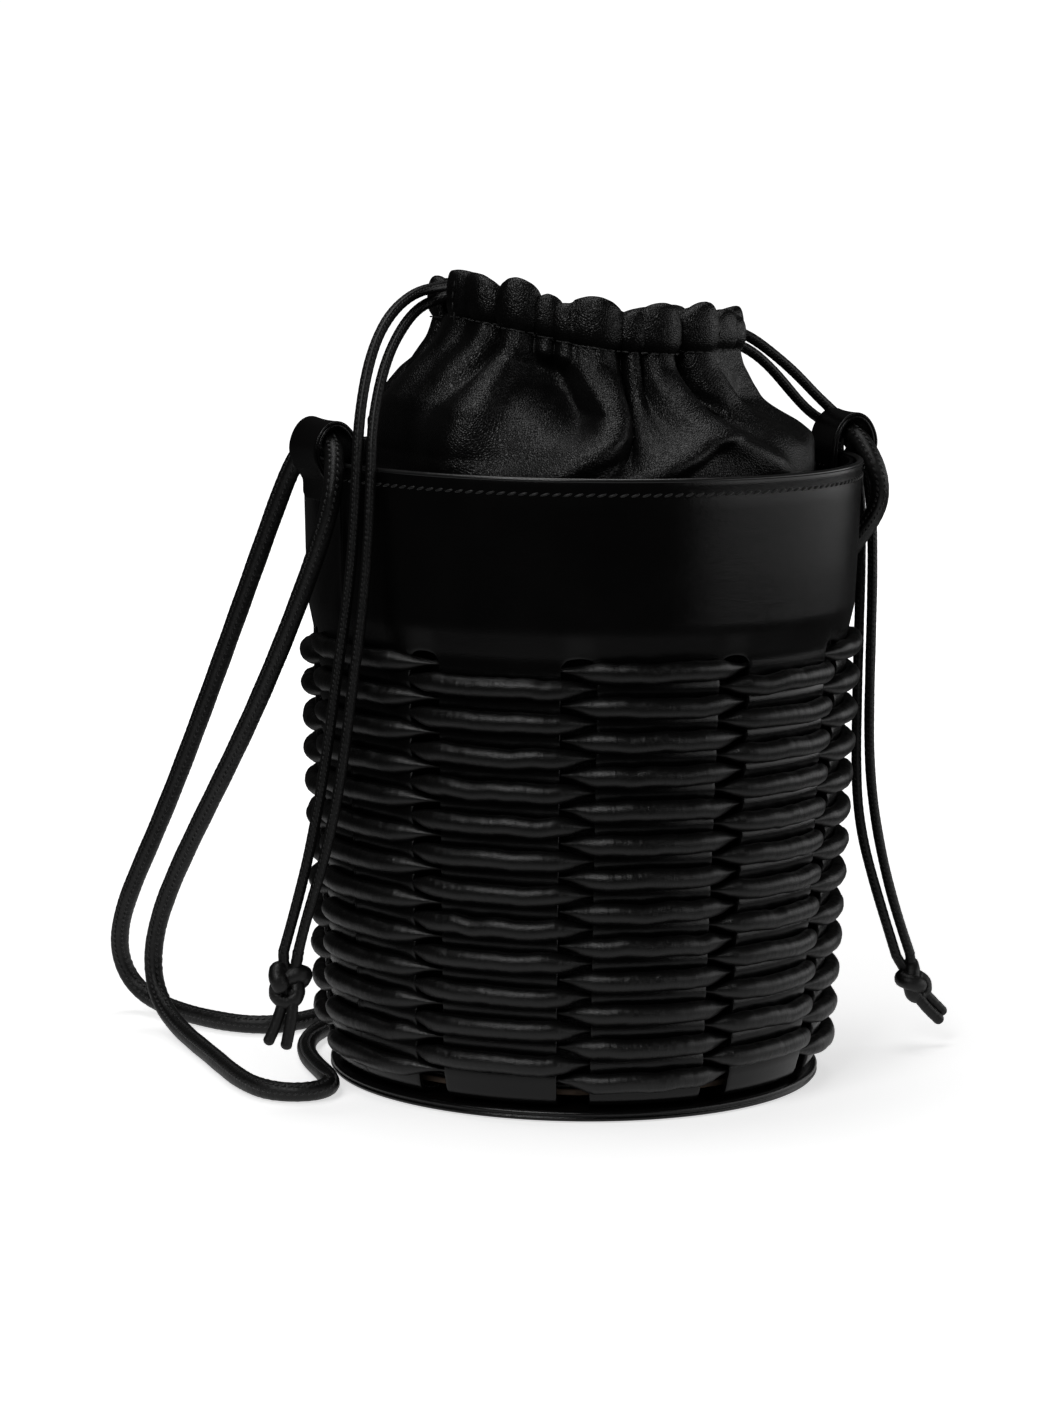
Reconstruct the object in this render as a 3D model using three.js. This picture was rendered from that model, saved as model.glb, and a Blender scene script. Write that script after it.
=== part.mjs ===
// A woven leather bucket bag. A smooth band is cut into upright stakes, leather cords are woven
// round the stakes, and a gathered drawstring pouch stands loose inside the basket. A rolled
// cord strap runs through a loop on each side of the rim.
// Millimetres, +Z up. The origin is the centre of the base's underside, the two strap loops
// lie towards -X and +X, and the front faces -Y.
import * as THREE from 'three';

// ---- driving dimensions ----
const RIM_HEIGHT = 194.8;
const SLIT_TOP = 142;             // the band above this is whole, below it is slit into stakes
const LEATHER = 1.8;              // thickness of the band and the stakes
const GAP = 0.3;                  // space left between pieces that touch
// middle of the band and stake leather, from the rim down: radius, height
const WALL_PROFILE = [
  [86.3, RIM_HEIGHT], [85.4, 165], [84.8, 150], [83.1, SLIT_TOP], [82.2, 137],
  [76.9, 16], [76.4, 9.5], [74.8, 5.8], [66, 5.1],
];
const SEAM_ANGLE = 13;            // the two side seams, turned from the line of the strap loops
const SIDE_STAKE = 37.6;          // width of a side stake, in degrees
const STAKE = 26.4;               // width of a front or back stake, in degrees
const STAKES_PER_PANEL = 4;
const SLIT = (180 - SIDE_STAKE - STAKES_PER_PANEL * STAKE) / (STAKES_PER_PANEL + 1);

const WEAVERS = 25;
const TOP_WEAVER = 137.6;         // height of the highest woven cord
const WEAVER_PITCH = 5.2;
const WEAVER_HEIGHT = 4.6;
const WEAVER_DEPTH = 4.2;
const WEAVE_SWING = 4.1;          // how far a woven cord stands in or out of the stakes' middle

const BASE_RADIUS = 77.4;
const BASE_THICKNESS = 3.6;
const STIFFENER_RADIUS = 71.5;
const STIFFENER_BOTTOM = 7.1;
const STIFFENER_TOP = 8.9;
const INSOLE_RADIUS = 70.2;
const INSOLE_BOTTOM = 9.2;
const INSOLE_TOP = 10.1;

const FACING_OUTER = 84.4;
const FACING_THICKNESS = 1.2;
const FACING_BOTTOM = 176;

const LOOP_WIDTH = 21;
const LOOP_LEATHER = 1.8;
const LEFT_LOOP_ANGLE = 185;
const RIGHT_LOOP_ANGLE = 357;

// outside of the pouch, from the bottom up: radius, height
const POUCH_PROFILE = [
  [56, 10.5], [65, 12.5], [69, 20], [71.5, 70], [74.2, 128], [75.6, 146], [77, 164], [77, 180],
  [74, 190], [69.5, 200], [61.5, 211], [52.5, 221], [46, 230.4],
];
const POUCH_WALL = 1.4;
const CHANNEL_MIDDLE = 239;       // height of the middle of the drawstring channel
const CHANNEL_HEIGHT = 16;
const CHANNEL_OUTER = 47.3;
const CHANNEL_INNER = 38.7;
const CHANNEL_WALL = 1.3;
const CHANNEL_END = 10;           // half the opening between the two channels, in degrees
const NECK_LEAN = 0.112;          // the gathered neck falls away towards +X
const LEAN_FROM = 200;            // height where the lean begins

const DRAWCORD = 3.3;
const DRAWCORD_RADIUS = 43;       // ring that the hidden drawcord follows in the channel
const DRAWCORD_STACK = 2.6;       // one drawcord runs this far above the middle, one below
const STRAP = 6;

// ---- colours and finishes ----
const finish = (color, roughness) => new THREE.MeshStandardMaterial({ color, roughness, metalness: 0 });
const glossyLeather = () => finish(0x171615, 0.28);
const wovenLeather = () => finish(0x1b1a19, 0.35);
const softLeather = () => finish(0x1d1c1c, 0.55);
const cordLeather = () => finish(0x1a1919, 0.45);
const board = () => finish(0x4a4038, 0.9);

// ---- helpers ----
const bag = new THREE.Group();
const turn = THREE.MathUtils.degToRad;

function add(name, geometry, material) {
  const mesh = new THREE.Mesh(geometry, material);
  mesh.name = name;
  bag.add(mesh);
  return mesh;
}

function polar(radius, angle, z) {
  return new THREE.Vector3(radius * Math.cos(turn(angle)), radius * Math.sin(turn(angle)), z);
}

function wallRadius(z) {
  const below = WALL_PROFILE.findIndex(([, height]) => height <= z);
  const [r0, z0] = WALL_PROFILE[below];
  const [r1, z1] = WALL_PROFILE[Math.max(below - 1, 0)];
  return z1 === z0 ? r0 : r0 + (r1 - r0) * (z - z0) / (z1 - z0);
}

// a closed ring or disc turned about Z, from points of radius and height
function turned(points, segments) {
  const profile = points.map(([r, z]) => new THREE.Vector2(r, z));
  return new THREE.LatheGeometry(profile, segments).rotateX(Math.PI / 2);
}

// a curve through its points, whose steps fall on them, so tight bends keep their shape
class Ring extends THREE.CatmullRomCurve3 {
  constructor(points) { super(points, false, 'centripetal'); }
  getSpacedPoints(divisions) { return this.getPoints(divisions); }
  getTangentAt(u, target) { return this.getTangent(u, target); }
}

// how a limp cord lies: a cubic B-spline that starts and ends on its first and last points
class Route extends THREE.Curve {
  constructor(points) {
    super();
    const [start, end] = [points[0], points.at(-1)];
    const before = start.clone().multiplyScalar(2).sub(points[1]);
    const after = end.clone().multiplyScalar(2).sub(points.at(-2));
    this.points = [before, ...points, after];
    this.spans = points.length - 1;
  }

  getPoint(t, target = new THREE.Vector3()) {
    const span = Math.min(Math.floor(t * this.spans), this.spans - 1);
    const u = t * this.spans - span;
    const weights = [(1 - u) ** 3, 3 * u ** 3 - 6 * u ** 2 + 4,
      -3 * u ** 3 + 3 * u ** 2 + 3 * u + 1, u ** 3];
    target.set(0, 0, 0);
    weights.forEach((weight, k) => target.addScaledVector(this.points[span + k], weight / 6));
    return target;
  }

  getSpacedPoints(divisions) { return this.getPoints(divisions); }
  getTangentAt(u, target) { return this.getTangent(u, target); }
}

function circle(diameter, sides) {
  const points = [];
  for (let i = 0; i < sides; i++) {
    const a = 2 * Math.PI * (i + 0.5) / sides;
    points.push(new THREE.Vector2(Math.cos(a) * diameter / 2, Math.sin(a) * diameter / 2));
  }
  return new THREE.Shape(points);
}

// a round cord through the given points, with some steps from each point to the next
function cordAlong(extrudePath, diameter, steps) {
  return new THREE.ExtrudeGeometry(circle(diameter, 8), { steps, extrudePath });
}

function freeCord(list, diameter) {
  const points = list.map((point) => new THREE.Vector3(...point));
  return cordAlong(new Route(points), diameter, 2 * (list.length - 1));
}

// lets the top of the pouch lean, more the higher it is
function leanPoint(point) {
  const share = THREE.MathUtils.clamp((point.z - LEAN_FROM) / (CHANNEL_MIDDLE - 8 - LEAN_FROM), 0, 1);
  point.z -= NECK_LEAN * point.x * share;
  return point;
}

function lean(geometry) {
  const position = geometry.attributes.position;
  const point = new THREE.Vector3();
  for (let i = 0; i < position.count; i++) {
    leanPoint(point.fromBufferAttribute(position, i));
    position.setXYZ(i, point.x, point.y, point.z);
  }
  return geometry;
}

// ---- basket wall: one panel at the front, one at the back ----
// the angles where the leather starts, ends or needs a bend, with a flag for leather above a slit
function panelColumns(start) {
  const columns = [];
  let angle = start + GAP / 2;
  const stretch = (width, cells, stake) => {
    for (let i = 0; i < cells; i++) columns.push({ from: angle + width * i / cells, stake });
    angle += width;
  };
  stretch(SIDE_STAKE / 2 - GAP / 2, 3, true);
  for (let i = 0; i < STAKES_PER_PANEL; i++) {
    stretch(SLIT, 1, false);
    stretch(STAKE, 4, true);
  }
  stretch(SLIT, 1, false);
  stretch(SIDE_STAKE / 2 - GAP / 2, 3, true);
  columns.push({ from: angle, stake: false });
  return columns;
}

// radius and height of one face of the leather at each row of the wall profile
function wallFace(side) {
  return WALL_PROFILE.map((point, i) => {
    const before = new THREE.Vector2(...WALL_PROFILE[Math.max(i - 1, 0)]);
    const after = new THREE.Vector2(...WALL_PROFILE[Math.min(i + 1, WALL_PROFILE.length - 1)]);
    const along = after.sub(before).normalize();
    const out = new THREE.Vector2(-along.y, along.x).multiplyScalar(side * LEATHER / 2);
    return new THREE.Vector2(...point).add(out);
  });
}

function panel(start) {
  const columns = panelColumns(start);
  const faces = { outer: wallFace(1), inner: wallFace(-1) };
  const bandRows = WALL_PROFILE.findIndex(([, z]) => z === SLIT_TOP);
  const across = columns.length - 1;
  const down = WALL_PROFILE.length - 1;
  const leather = (i, j) => i >= 0 && i < across && j >= 0 && j < down
    && (columns[i].stake || j < bandRows);
  const corner = (i, j, face) => polar(faces[face][j].x, columns[i].from, faces[face][j].y);
  const triangles = [];
  const quad = (a, b, c, d) => triangles.push(a, b, c, a, c, d);
  for (let i = 0; i < across; i++) {
    for (let j = 0; j < down; j++) {
      if (!leather(i, j)) continue;
      const [ao, bo] = [corner(i, j, 'outer'), corner(i + 1, j, 'outer')];
      const [co, po] = [corner(i + 1, j + 1, 'outer'), corner(i, j + 1, 'outer')];
      const [ai, bi] = [corner(i, j, 'inner'), corner(i + 1, j, 'inner')];
      const [ci, pi] = [corner(i + 1, j + 1, 'inner'), corner(i, j + 1, 'inner')];
      quad(ao, po, co, bo);
      quad(ai, bi, ci, pi);
      if (!leather(i - 1, j)) quad(ao, ai, pi, po);
      if (!leather(i + 1, j)) quad(bo, co, ci, bi);
      if (!leather(i, j - 1)) quad(ao, bo, bi, ai);
      if (!leather(i, j + 1)) quad(po, pi, ci, co);
    }
  }
  const geometry = new THREE.BufferGeometry().setFromPoints(triangles);
  geometry.computeVertexNormals();
  return geometry;
}

// ---- woven cords ----
// the middle angle, width and number of every stake round the basket
function stakes() {
  const list = [];
  for (let half = 0; half < 2; half++) {
    const seam = SEAM_ANGLE + 180 * (half + 1);
    list.push({ angle: seam, width: SIDE_STAKE, bends: 3 });
    for (let i = 0; i < STAKES_PER_PANEL; i++) {
      const angle = seam + SIDE_STAKE / 2 + SLIT * (i + 1) + STAKE * (i + 0.5);
      list.push({ angle, width: STAKE, bends: 2 });
    }
  }
  return list;
}

// over one stake and under the next: even rows pass inside the stakes that odd rows pass over.
// The ends of the cord meet inside the basket, behind the middle of a stake.
function weaver(row) {
  const z = TOP_WEAVER - WEAVER_PITCH * row;
  const all = stakes();
  const first = row % 2 === 0 ? 1 : 2;      // a stake that this row passes inside
  const points = [];
  for (let k = 0; k <= all.length; k++) {
    const number = first + k;
    const stake = all[number % all.length];
    const angle = stake.angle + (number >= all.length ? 360 : 0);
    const outside = (number + row) % 2 === 0;
    const radius = wallRadius(z) + (outside ? WEAVE_SWING : -WEAVE_SWING);
    for (let i = 0; i <= stake.bends; i++) {
      const share = i / stake.bends - 0.5;
      if (k === 0 && share < 0) continue;
      if (k === all.length && share > 0) continue;
      const ends = (k === 0 && share === 0) ? 0.15 : (k === all.length && share === 0) ? -0.15 : 0;
      points.push(polar(radius, angle + share * stake.width + ends, z));
    }
  }
  const [h, d] = [WEAVER_HEIGHT / 2, WEAVER_DEPTH / 2];
  const section = new THREE.Shape([[-h, -d], [h, -d], [h, d], [-h, d]].map((p) => new THREE.Vector2(...p)));
  const options = { steps: points.length - 1, extrudePath: new Ring(points) };
  return new THREE.ExtrudeGeometry(section, options);
}

function basket() {
  add('front_panel', panel(SEAM_ANGLE + 180), glossyLeather());
  add('back_panel', panel(SEAM_ANGLE), glossyLeather());
  const [outer, inner] = [FACING_OUTER, FACING_OUTER - FACING_THICKNESS];
  const top = RIM_HEIGHT - GAP;
  const facing = [[inner, FACING_BOTTOM], [outer, FACING_BOTTOM], [outer, top], [inner, top],
    [inner, FACING_BOTTOM]];
  add('rim_facing', turned(facing, 36), glossyLeather());
  for (let row = 0; row < WEAVERS; row++) {
    add(`weaver_${String(row + 1).padStart(2, '0')}`, weaver(row), wovenLeather());
  }
}

// ---- base ----
function disc(radius, bottom, top, bevel) {
  return turned([[0, bottom], [radius - bevel, bottom], [radius, bottom + bevel],
    [radius, top - bevel], [radius - bevel, top], [0, top]], 36);
}

function base() {
  add('base_disc', disc(BASE_RADIUS, 0, BASE_THICKNESS, 1), glossyLeather());
  add('base_stiffener', disc(STIFFENER_RADIUS, STIFFENER_BOTTOM, STIFFENER_TOP, 0.3), board());
  add('insole', disc(INSOLE_RADIUS, INSOLE_BOTTOM, INSOLE_TOP, 0.2), softLeather());
}

// ---- strap loops, folded over the rim ----
// middle of the folded strip, from the foot inside the rim to the foot outside: outward, height
const LOOP_PATH = [
  [80.9, 183], [80.9, 190], [80.6, 196], [81.6, 201.6], [84.3, 205.4], [87.4, 206.6],
  [90.4, 205.2], [92.6, 201.6], [93.2, 197.4], [91.4, 193], [88.9, 189.6], [88.6, 183],
];

function ribbon(path, thickness) {
  const side = (sign) => path.map((point, i) => {
    const before = new THREE.Vector2(...path[Math.max(i - 1, 0)]);
    const after = new THREE.Vector2(...path[Math.min(i + 1, path.length - 1)]);
    const along = after.sub(before).normalize();
    const out = new THREE.Vector2(-along.y, along.x).multiplyScalar(sign * thickness / 2);
    return new THREE.Vector2(...point).add(out);
  });
  return new THREE.Shape([...side(1), ...side(-1).reverse()]);
}

function strapLoop(name, angle) {
  const geometry = new THREE.ExtrudeGeometry(ribbon(LOOP_PATH, LOOP_LEATHER),
    { depth: LOOP_WIDTH, bevelEnabled: false });
  geometry.translate(0, 0, -LOOP_WIDTH / 2).rotateX(Math.PI / 2);
  add(name, geometry, glossyLeather()).rotation.z = turn(angle);
}

// ---- pouch ----
function pouch() {
  const outside = POUCH_PROFILE;
  const inside = outside.map(([r, z]) => [r - POUCH_WALL, z]).reverse();
  inside[0][1] = outside.at(-1)[1];
  const floor = outside[0][1] + POUCH_WALL;
  inside[inside.length - 1] = [outside[0][0] - POUCH_WALL, floor];
  const profile = [[0, outside[0][1]], ...outside, ...inside, [0, floor]];
  add('pouch_body', lean(turned(profile, 28)), softLeather());
  channel('front_channel', 180 + CHANNEL_END);
  channel('back_channel', CHANNEL_END);
}

// one half of the drawstring channel: a flat sleeve, open at both ends
function channel(name, start) {
  const sweep = 180 - 2 * CHANNEL_END;
  const steps = 18;
  const middle = (CHANNEL_OUTER + CHANNEL_INNER) / 2;
  const points = [];
  for (let i = 0; i <= steps; i++) {
    points.push(polar(middle, start + sweep * i / steps, CHANNEL_MIDDLE));
  }
  const rectangle = (h, d) => [[-h, -d], [h, -d], [h, d], [-h, d]].map((p) => new THREE.Vector2(...p));
  const [h, d] = [CHANNEL_HEIGHT / 2, (CHANNEL_OUTER - CHANNEL_INNER) / 2];
  const section = new THREE.Shape(rectangle(h, d));
  section.holes.push(new THREE.Path(rectangle(h - CHANNEL_WALL, d - CHANNEL_WALL)));
  const options = { steps, extrudePath: new Ring(points) };
  add(name, lean(new THREE.ExtrudeGeometry(section, options)), softLeather());
}

// ---- drawcords ----
// the hidden part of a drawcord: all the way round inside both channels
function drawcordRun(name, start, height) {
  const steps = 26;
  const end = CHANNEL_END + 3;
  const points = [];
  for (let i = 0; i <= steps; i++) {
    const angle = start + end + (360 - 2 * end) * i / steps;
    points.push(leanPoint(polar(DRAWCORD_RADIUS, angle, CHANNEL_MIDDLE + height)));
  }
  add(name, cordAlong(new Ring(points), DRAWCORD, steps), cordLeather());
}

// each free end: out of the channel, over the rim and down to its knot
const LEFT_REAR_END = [
  [-42, 9, 246.4], [-42.9, 5.8, 246.9], [-45.4, 2.2, 247], [-50, -1.8, 246.9], [-59, -9, 245.8],
  [-69, -17.4, 240.5], [-76.5, -25, 232], [-81.5, -31, 221], [-84.5, -34.2, 207],
  [-85.2, -35.3, 190], [-86.4, -34.9, 163], [-90, -33.3, 135], [-93.2, -32, 105],
  [-98, -30.2, 75], [-104.8, -27.6, 48],
];
const LEFT_FRONT_END = [
  [-42, -9, 246.4], [-43.3, -5.6, 245.6], [-46.2, -2.8, 244.4], [-50.2, -2.1, 243],
  [-54.4, -4.1, 241.7], [-61.5, -12, 238.6], [-71, -23.4, 230.2], [-77, -31, 219.5],
  [-80.8, -35.7, 206], [-81.4, -37.9, 190], [-83, -38.4, 160], [-86.4, -37.2, 131],
  [-89.4, -36, 102], [-93.6, -34.1, 78], [-98.8, -31.4, 59], [-101, -30.2, 48],
];
const RIGHT_REAR_END = [
  [42, 9, 231.7], [42.9, 6, 232.3], [45.6, 2.8, 233.2], [50, 1.2, 233.3], [56, 1.2, 231.2],
  [64, 2, 226], [74, 4.5, 218.8], [82, 7.4, 211.8], [89.5, 9.2, 206], [95.8, 9.2, 200.3],
  [99.8, 7, 191], [101, 2.8, 175], [100.2, -0.4, 148], [99.8, -0.5, 112], [100.6, -0.8, 84],
  [107, -2.9, 52.5], [114.6, -5.6, 29.8],
];
const RIGHT_FRONT_END = [
  [42, -9, 231.7], [43.2, -5.6, 231.2], [46, -3.1, 230.3], [50, -2.1, 229.1], [57, -1.2, 226],
  [65, 1.4, 219.8], [72.5, 5.2, 213], [79, 8.8, 207.6], [85, 11.8, 203.9], [91, 13.4, 201.3],
  [96.2, 12.4, 197.2], [98.8, 9.4, 187.5], [98.2, 4.6, 168], [96.8, 2, 136], [96.5, 1.6, 91],
  [98, 0.9, 74], [101.2, -0.5, 59], [110.4, -4.2, 29],
];

// an overhand knot with its two short tails, as the solid that encloses them
function knot(name, diameter, place, tilt) {
  const d = diameter;
  const profile = [[0, -5.2 * d], [1.1 * d, -5.2 * d], [1.0 * d, -2.7 * d], [1.5 * d, -2.1 * d],
    [2.1 * d, -0.7 * d], [2.1 * d, 1.0 * d], [1.5 * d, 2.4 * d], [1.2 * d, 2.8 * d], [0, 2.8 * d]];
  const mesh = add(name, turned(profile, 12), cordLeather());
  mesh.position.set(...place);
  mesh.rotation.y = turn(tilt);
}

function drawcords() {
  drawcordRun('left_drawcord_run', 180, DRAWCORD_STACK);
  drawcordRun('right_drawcord_run', 0, -DRAWCORD_STACK);
  const ends = { left_rear_cord: LEFT_REAR_END, left_front_cord: LEFT_FRONT_END,
    right_rear_cord: RIGHT_REAR_END, right_front_cord: RIGHT_FRONT_END };
  for (const [name, list] of Object.entries(ends)) {
    add(name, freeCord(list, DRAWCORD), cordLeather());
  }
  knot('left_knot', DRAWCORD, [-103.4, -28.6, 37.5], 8);
  knot('right_knot', DRAWCORD, [115.6, -6.0, 19.2], -17);
}

// ---- strap: one long cord through both loops, its ends tied behind the basket ----
const STRAP_ROUTE = [
  [14.6, 98.4, 7.4], [40, 93, 16], [60, 77, 64], [82, 48.6, 120], [93, 15.5, 181],
  [92, 13, 193], [87.6, 6, 201], [86.4, -4.6, 202.4], [87, -15.2, 201], [90.4, -22.6, 192],
  [94, -20.4, 180], [92, -8, 168], [90.8, 18, 149], [81.8, 50.4, 90], [62, 70, 34],
  [46, 79, 3.2], [-20, 91, 3.2], [-70, 62, 3.2], [-85.4, 18, 3.2], [-81.6, -26, 3.2],
  [-113, -26, 3.2], [-110, 30, 3.2], [-112.6, 91, 3.2], [-116.6, 95, 33], [-101.5, 24, 106],
  [-90.6, -24, 176], [-89.4, -27, 191], [-86.6, -17.6, 201], [-86.2, -7.6, 202.4],
  [-88, 3, 201], [-91.8, 10.4, 192], [-94.6, 19, 177], [-111.5, 77, 78], [-120, 98, 46],
  [-121, 118, 21], [-112, 117, 3.2], [-99, 80, 3.2], [-80, 60, 3.2], [-44, 88, 3.2],
  [-11, 98.3, 7.4],
];
const TIE_MIDDLE = [1.8, 98.5, 9.4];
const TIE_PROFILE = [[0, -11.2], [5.5, -11.2], [8.6, -6], [9.2, 0], [8.6, 6], [5.5, 11.2], [0, 11.2]];

function strap() {
  add('strap_cord', freeCord(STRAP_ROUTE, STRAP), cordLeather());
  const tie = turned(TIE_PROFILE, 12).rotateY(Math.PI / 2);
  add('strap_knot', tie, cordLeather()).position.set(...TIE_MIDDLE);
}

basket();
base();
strapLoop('left_strap_loop', LEFT_LOOP_ANGLE);
strapLoop('right_strap_loop', RIGHT_LOOP_ANGLE);
pouch();
drawcords();
strap();

export default bag;
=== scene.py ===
import math
import random

import bmesh
import bpy
import numpy as np
from mathutils import Matrix


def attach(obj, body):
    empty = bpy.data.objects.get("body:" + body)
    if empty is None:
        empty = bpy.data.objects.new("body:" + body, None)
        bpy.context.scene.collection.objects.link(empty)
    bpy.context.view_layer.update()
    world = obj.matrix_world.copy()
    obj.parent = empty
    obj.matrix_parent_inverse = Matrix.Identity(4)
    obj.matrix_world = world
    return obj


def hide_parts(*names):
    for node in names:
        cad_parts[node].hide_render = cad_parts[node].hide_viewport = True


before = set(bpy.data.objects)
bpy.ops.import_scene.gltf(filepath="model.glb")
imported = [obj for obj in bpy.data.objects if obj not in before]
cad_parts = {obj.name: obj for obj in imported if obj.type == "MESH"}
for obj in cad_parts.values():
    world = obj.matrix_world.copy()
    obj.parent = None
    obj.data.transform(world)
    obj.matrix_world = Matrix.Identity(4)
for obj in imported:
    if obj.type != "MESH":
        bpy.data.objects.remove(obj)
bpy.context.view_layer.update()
MM = 0.001

# ---- sizes of the bag ----
RIM_HEIGHT = 194.8
SLIT_TOP = 139.2
LEATHER = 1.8
WALL_PROFILE = [
    (86.3, RIM_HEIGHT), (85.4, 165), (84.8, 150), (83.1, 142), (82.2, 137),
    (76.9, 16), (76.4, 9.5), (74.8, 5.8), (66, 5.1),
]
SEAM_ANGLE = 13
SIDE_STAKE = 37.6
STAKE = 26.4
STAKES_PER_PANEL = 4
SLIT = (180 - SIDE_STAKE - STAKES_PER_PANEL * STAKE) / (STAKES_PER_PANEL + 1)
WEAVERS = 25
TOP_WEAVER = 137.6
WEAVER_PITCH = 5.2
WEAVE_SWING = 3.3
WEAVER_HEIGHT = 6.3
WEAVER_DEPTH = 5.8
RIM_STITCH_HEIGHT = 190.3
NECK_LEAN = 0.112
LEAN_FROM = 200
CHANNEL_MIDDLE = 239
DRAWCORD = 3.3
STRAP = 6.0
LEFT_LOOP_ANGLE = 185
RIGHT_LOOP_ANGLE = 357
LOOP_WIDTH = 21

# ---- routes of the free cords ----
LEFT_REAR_END = [
    (-42, 9, 246.4), (-42.9, 5.8, 246.9), (-45.4, 2.2, 247), (-50, -1.8, 246.9), (-59, -9, 245.8),
    (-69, -17.4, 240.5), (-76.5, -25, 232), (-81.5, -31, 221), (-84.5, -34.2, 207),
    (-85.2, -35.3, 190), (-86.4, -34.9, 163), (-90, -33.3, 135), (-93.2, -32, 105),
    (-98, -30.2, 75), (-104.8, -27.6, 48),
]
LEFT_FRONT_END = [
    (-42, -9, 246.4), (-43.3, -5.6, 245.6), (-46.2, -2.8, 244.4), (-50.2, -2.1, 243),
    (-54.4, -4.1, 241.7), (-61.5, -12, 238.6), (-71, -23.4, 230.2), (-77, -31, 219.5),
    (-80.8, -35.7, 206), (-81.4, -37.9, 190), (-83, -38.4, 160), (-86.4, -37.2, 131),
    (-89.4, -36, 102), (-93.6, -34.1, 78), (-98.8, -31.4, 59), (-101, -30.2, 48),
]
RIGHT_REAR_END = [
    (42, 9, 231.7), (42.9, 6, 232.3), (45.6, 2.8, 233.2), (50, 1.2, 233.3), (56, 1.2, 231.2),
    (64, 2, 226), (74, 4.5, 218.8), (82, 7.4, 211.8), (89.5, 9.2, 206), (95.8, 9.2, 200.3),
    (99.8, 7, 191), (101, 2.8, 175), (100.2, -0.4, 148), (99.8, -0.5, 112), (100.6, -0.8, 84),
    (107, -2.9, 52.5), (114.6, -5.6, 29.8),
]
RIGHT_FRONT_END = [
    (42, -9, 231.7), (43.2, -5.6, 231.2), (46, -3.1, 230.3), (50, -2.1, 229.1), (57, -1.2, 226),
    (65, 1.4, 219.8), (72.5, 5.2, 213), (79, 8.8, 207.6), (85, 11.8, 203.9), (91, 13.4, 201.3),
    (96.2, 12.4, 197.2), (98.8, 9.4, 187.5), (98.2, 4.6, 168), (96.8, 2, 136), (96.5, 1.6, 91),
    (98, 0.9, 74), (101.2, -0.5, 59), (110.4, -4.2, 29),
]
STRAP_ROUTE = [
    (14.6, 98.4, 7.4), (40, 93, 16), (60, 77, 64), (82, 48.6, 120), (93, 15.5, 181),
    (92, 13, 193), (87.6, 6, 201), (86.4, -4.6, 202.4), (87, -15.2, 201), (90.4, -22.6, 192),
    (94, -20.4, 180), (92, -8, 168), (90.8, 18, 149), (81.8, 50.4, 90), (62, 70, 34),
    (46, 79, 3.2), (-20, 91, 3.2), (-70, 62, 3.2), (-85.4, 18, 3.2), (-81.6, -26, 3.2),
    (-113, -26, 3.2), (-110, 30, 3.2), (-112.6, 91, 3.2), (-116.6, 95, 33), (-101.5, 24, 106),
    (-90.6, -24, 176), (-89.4, -27, 191), (-86.6, -17.6, 201), (-86.2, -7.6, 202.4),
    (-88, 3, 201), (-91.8, 10.4, 192), (-94.6, 19, 177), (-111.5, 77, 78), (-120, 98, 46),
    (-121, 118, 21), (-112, 117, 3.2), (-99, 80, 3.2), (-80, 60, 3.2), (-44, 88, 3.2),
    (-11, 98.3, 7.4),
]
STRAP_KNOT_MIDDLE = (1.8, 98.5, 9.4)
SEAM_TOWARD = (-0.3, -0.85, 0.42)


# ---- node trees ----
class Value:
    """A node's output that can be used in arithmetic."""

    def __init__(self, graph, socket):
        self.graph = graph
        self.socket = socket

    def __add__(self, other):
        return self.graph.math("ADD", self, other)

    def __sub__(self, other):
        return self.graph.math("SUBTRACT", self, other)

    def __rsub__(self, other):
        return self.graph.math("SUBTRACT", other, self)

    def __mul__(self, other):
        return self.graph.math("MULTIPLY", self, other)

    def __truediv__(self, other):
        return self.graph.math("DIVIDE", self, other)

    def __pow__(self, other):
        return self.graph.math("POWER", self, other)

    __radd__ = __add__
    __rmul__ = __mul__


class Graph:
    """A node tree, whose nodes come from one method."""

    def __init__(self, tree):
        self.tree = tree

    def node(self, kind, settings=None, sockets=None, output=0):
        made = self.tree.nodes.new(kind)
        for key, value in (settings or {}).items():
            if key == "stops":
                self.set_stops(made.color_ramp, value)
            else:
                setattr(made, key, value)
        for key, value in (sockets or {}).items():
            self.feed(made.inputs[key], value)
        return Value(self, made.outputs[output]) if len(made.outputs) else made

    def set_stops(self, ramp, stops):
        while len(ramp.elements) < len(stops):
            ramp.elements.new(1)
        for element, (position, grey) in zip(ramp.elements, stops):
            element.position = position
            element.color = (grey, grey, grey, 1)

    def feed(self, socket, value):
        if isinstance(value, Value):
            self.tree.links.new(value.socket, socket)
        else:
            socket.default_value = value

    def math(self, operation, *values):
        made = self.tree.nodes.new("ShaderNodeMath")
        made.operation = operation
        for socket, value in zip(made.inputs, values):
            self.feed(socket, value)
        return Value(self, made.outputs[0])

    def other(self, value, output):
        return Value(self, value.socket.node.outputs[output])


def bake_nodes(name, mesh, tree, inputs):
    """The mesh that a geometry tree makes of a starting mesh, as a plain object."""
    piece = bpy.data.objects.new(name, mesh)
    bpy.context.scene.collection.objects.link(piece)
    modifier = piece.modifiers.new("shape", "NODES")
    modifier.node_group = tree
    for item in tree.interface.items_tree:
        if item.in_out == "INPUT" and item.name in inputs:
            modifier[item.identifier] = inputs[item.name]
    bpy.context.view_layer.update()
    evaluated = piece.evaluated_get(bpy.context.evaluated_depsgraph_get())
    result = bpy.data.meshes.new_from_object(evaluated)
    piece.modifiers.clear()
    piece.data = result
    result.name = name
    return piece


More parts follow.
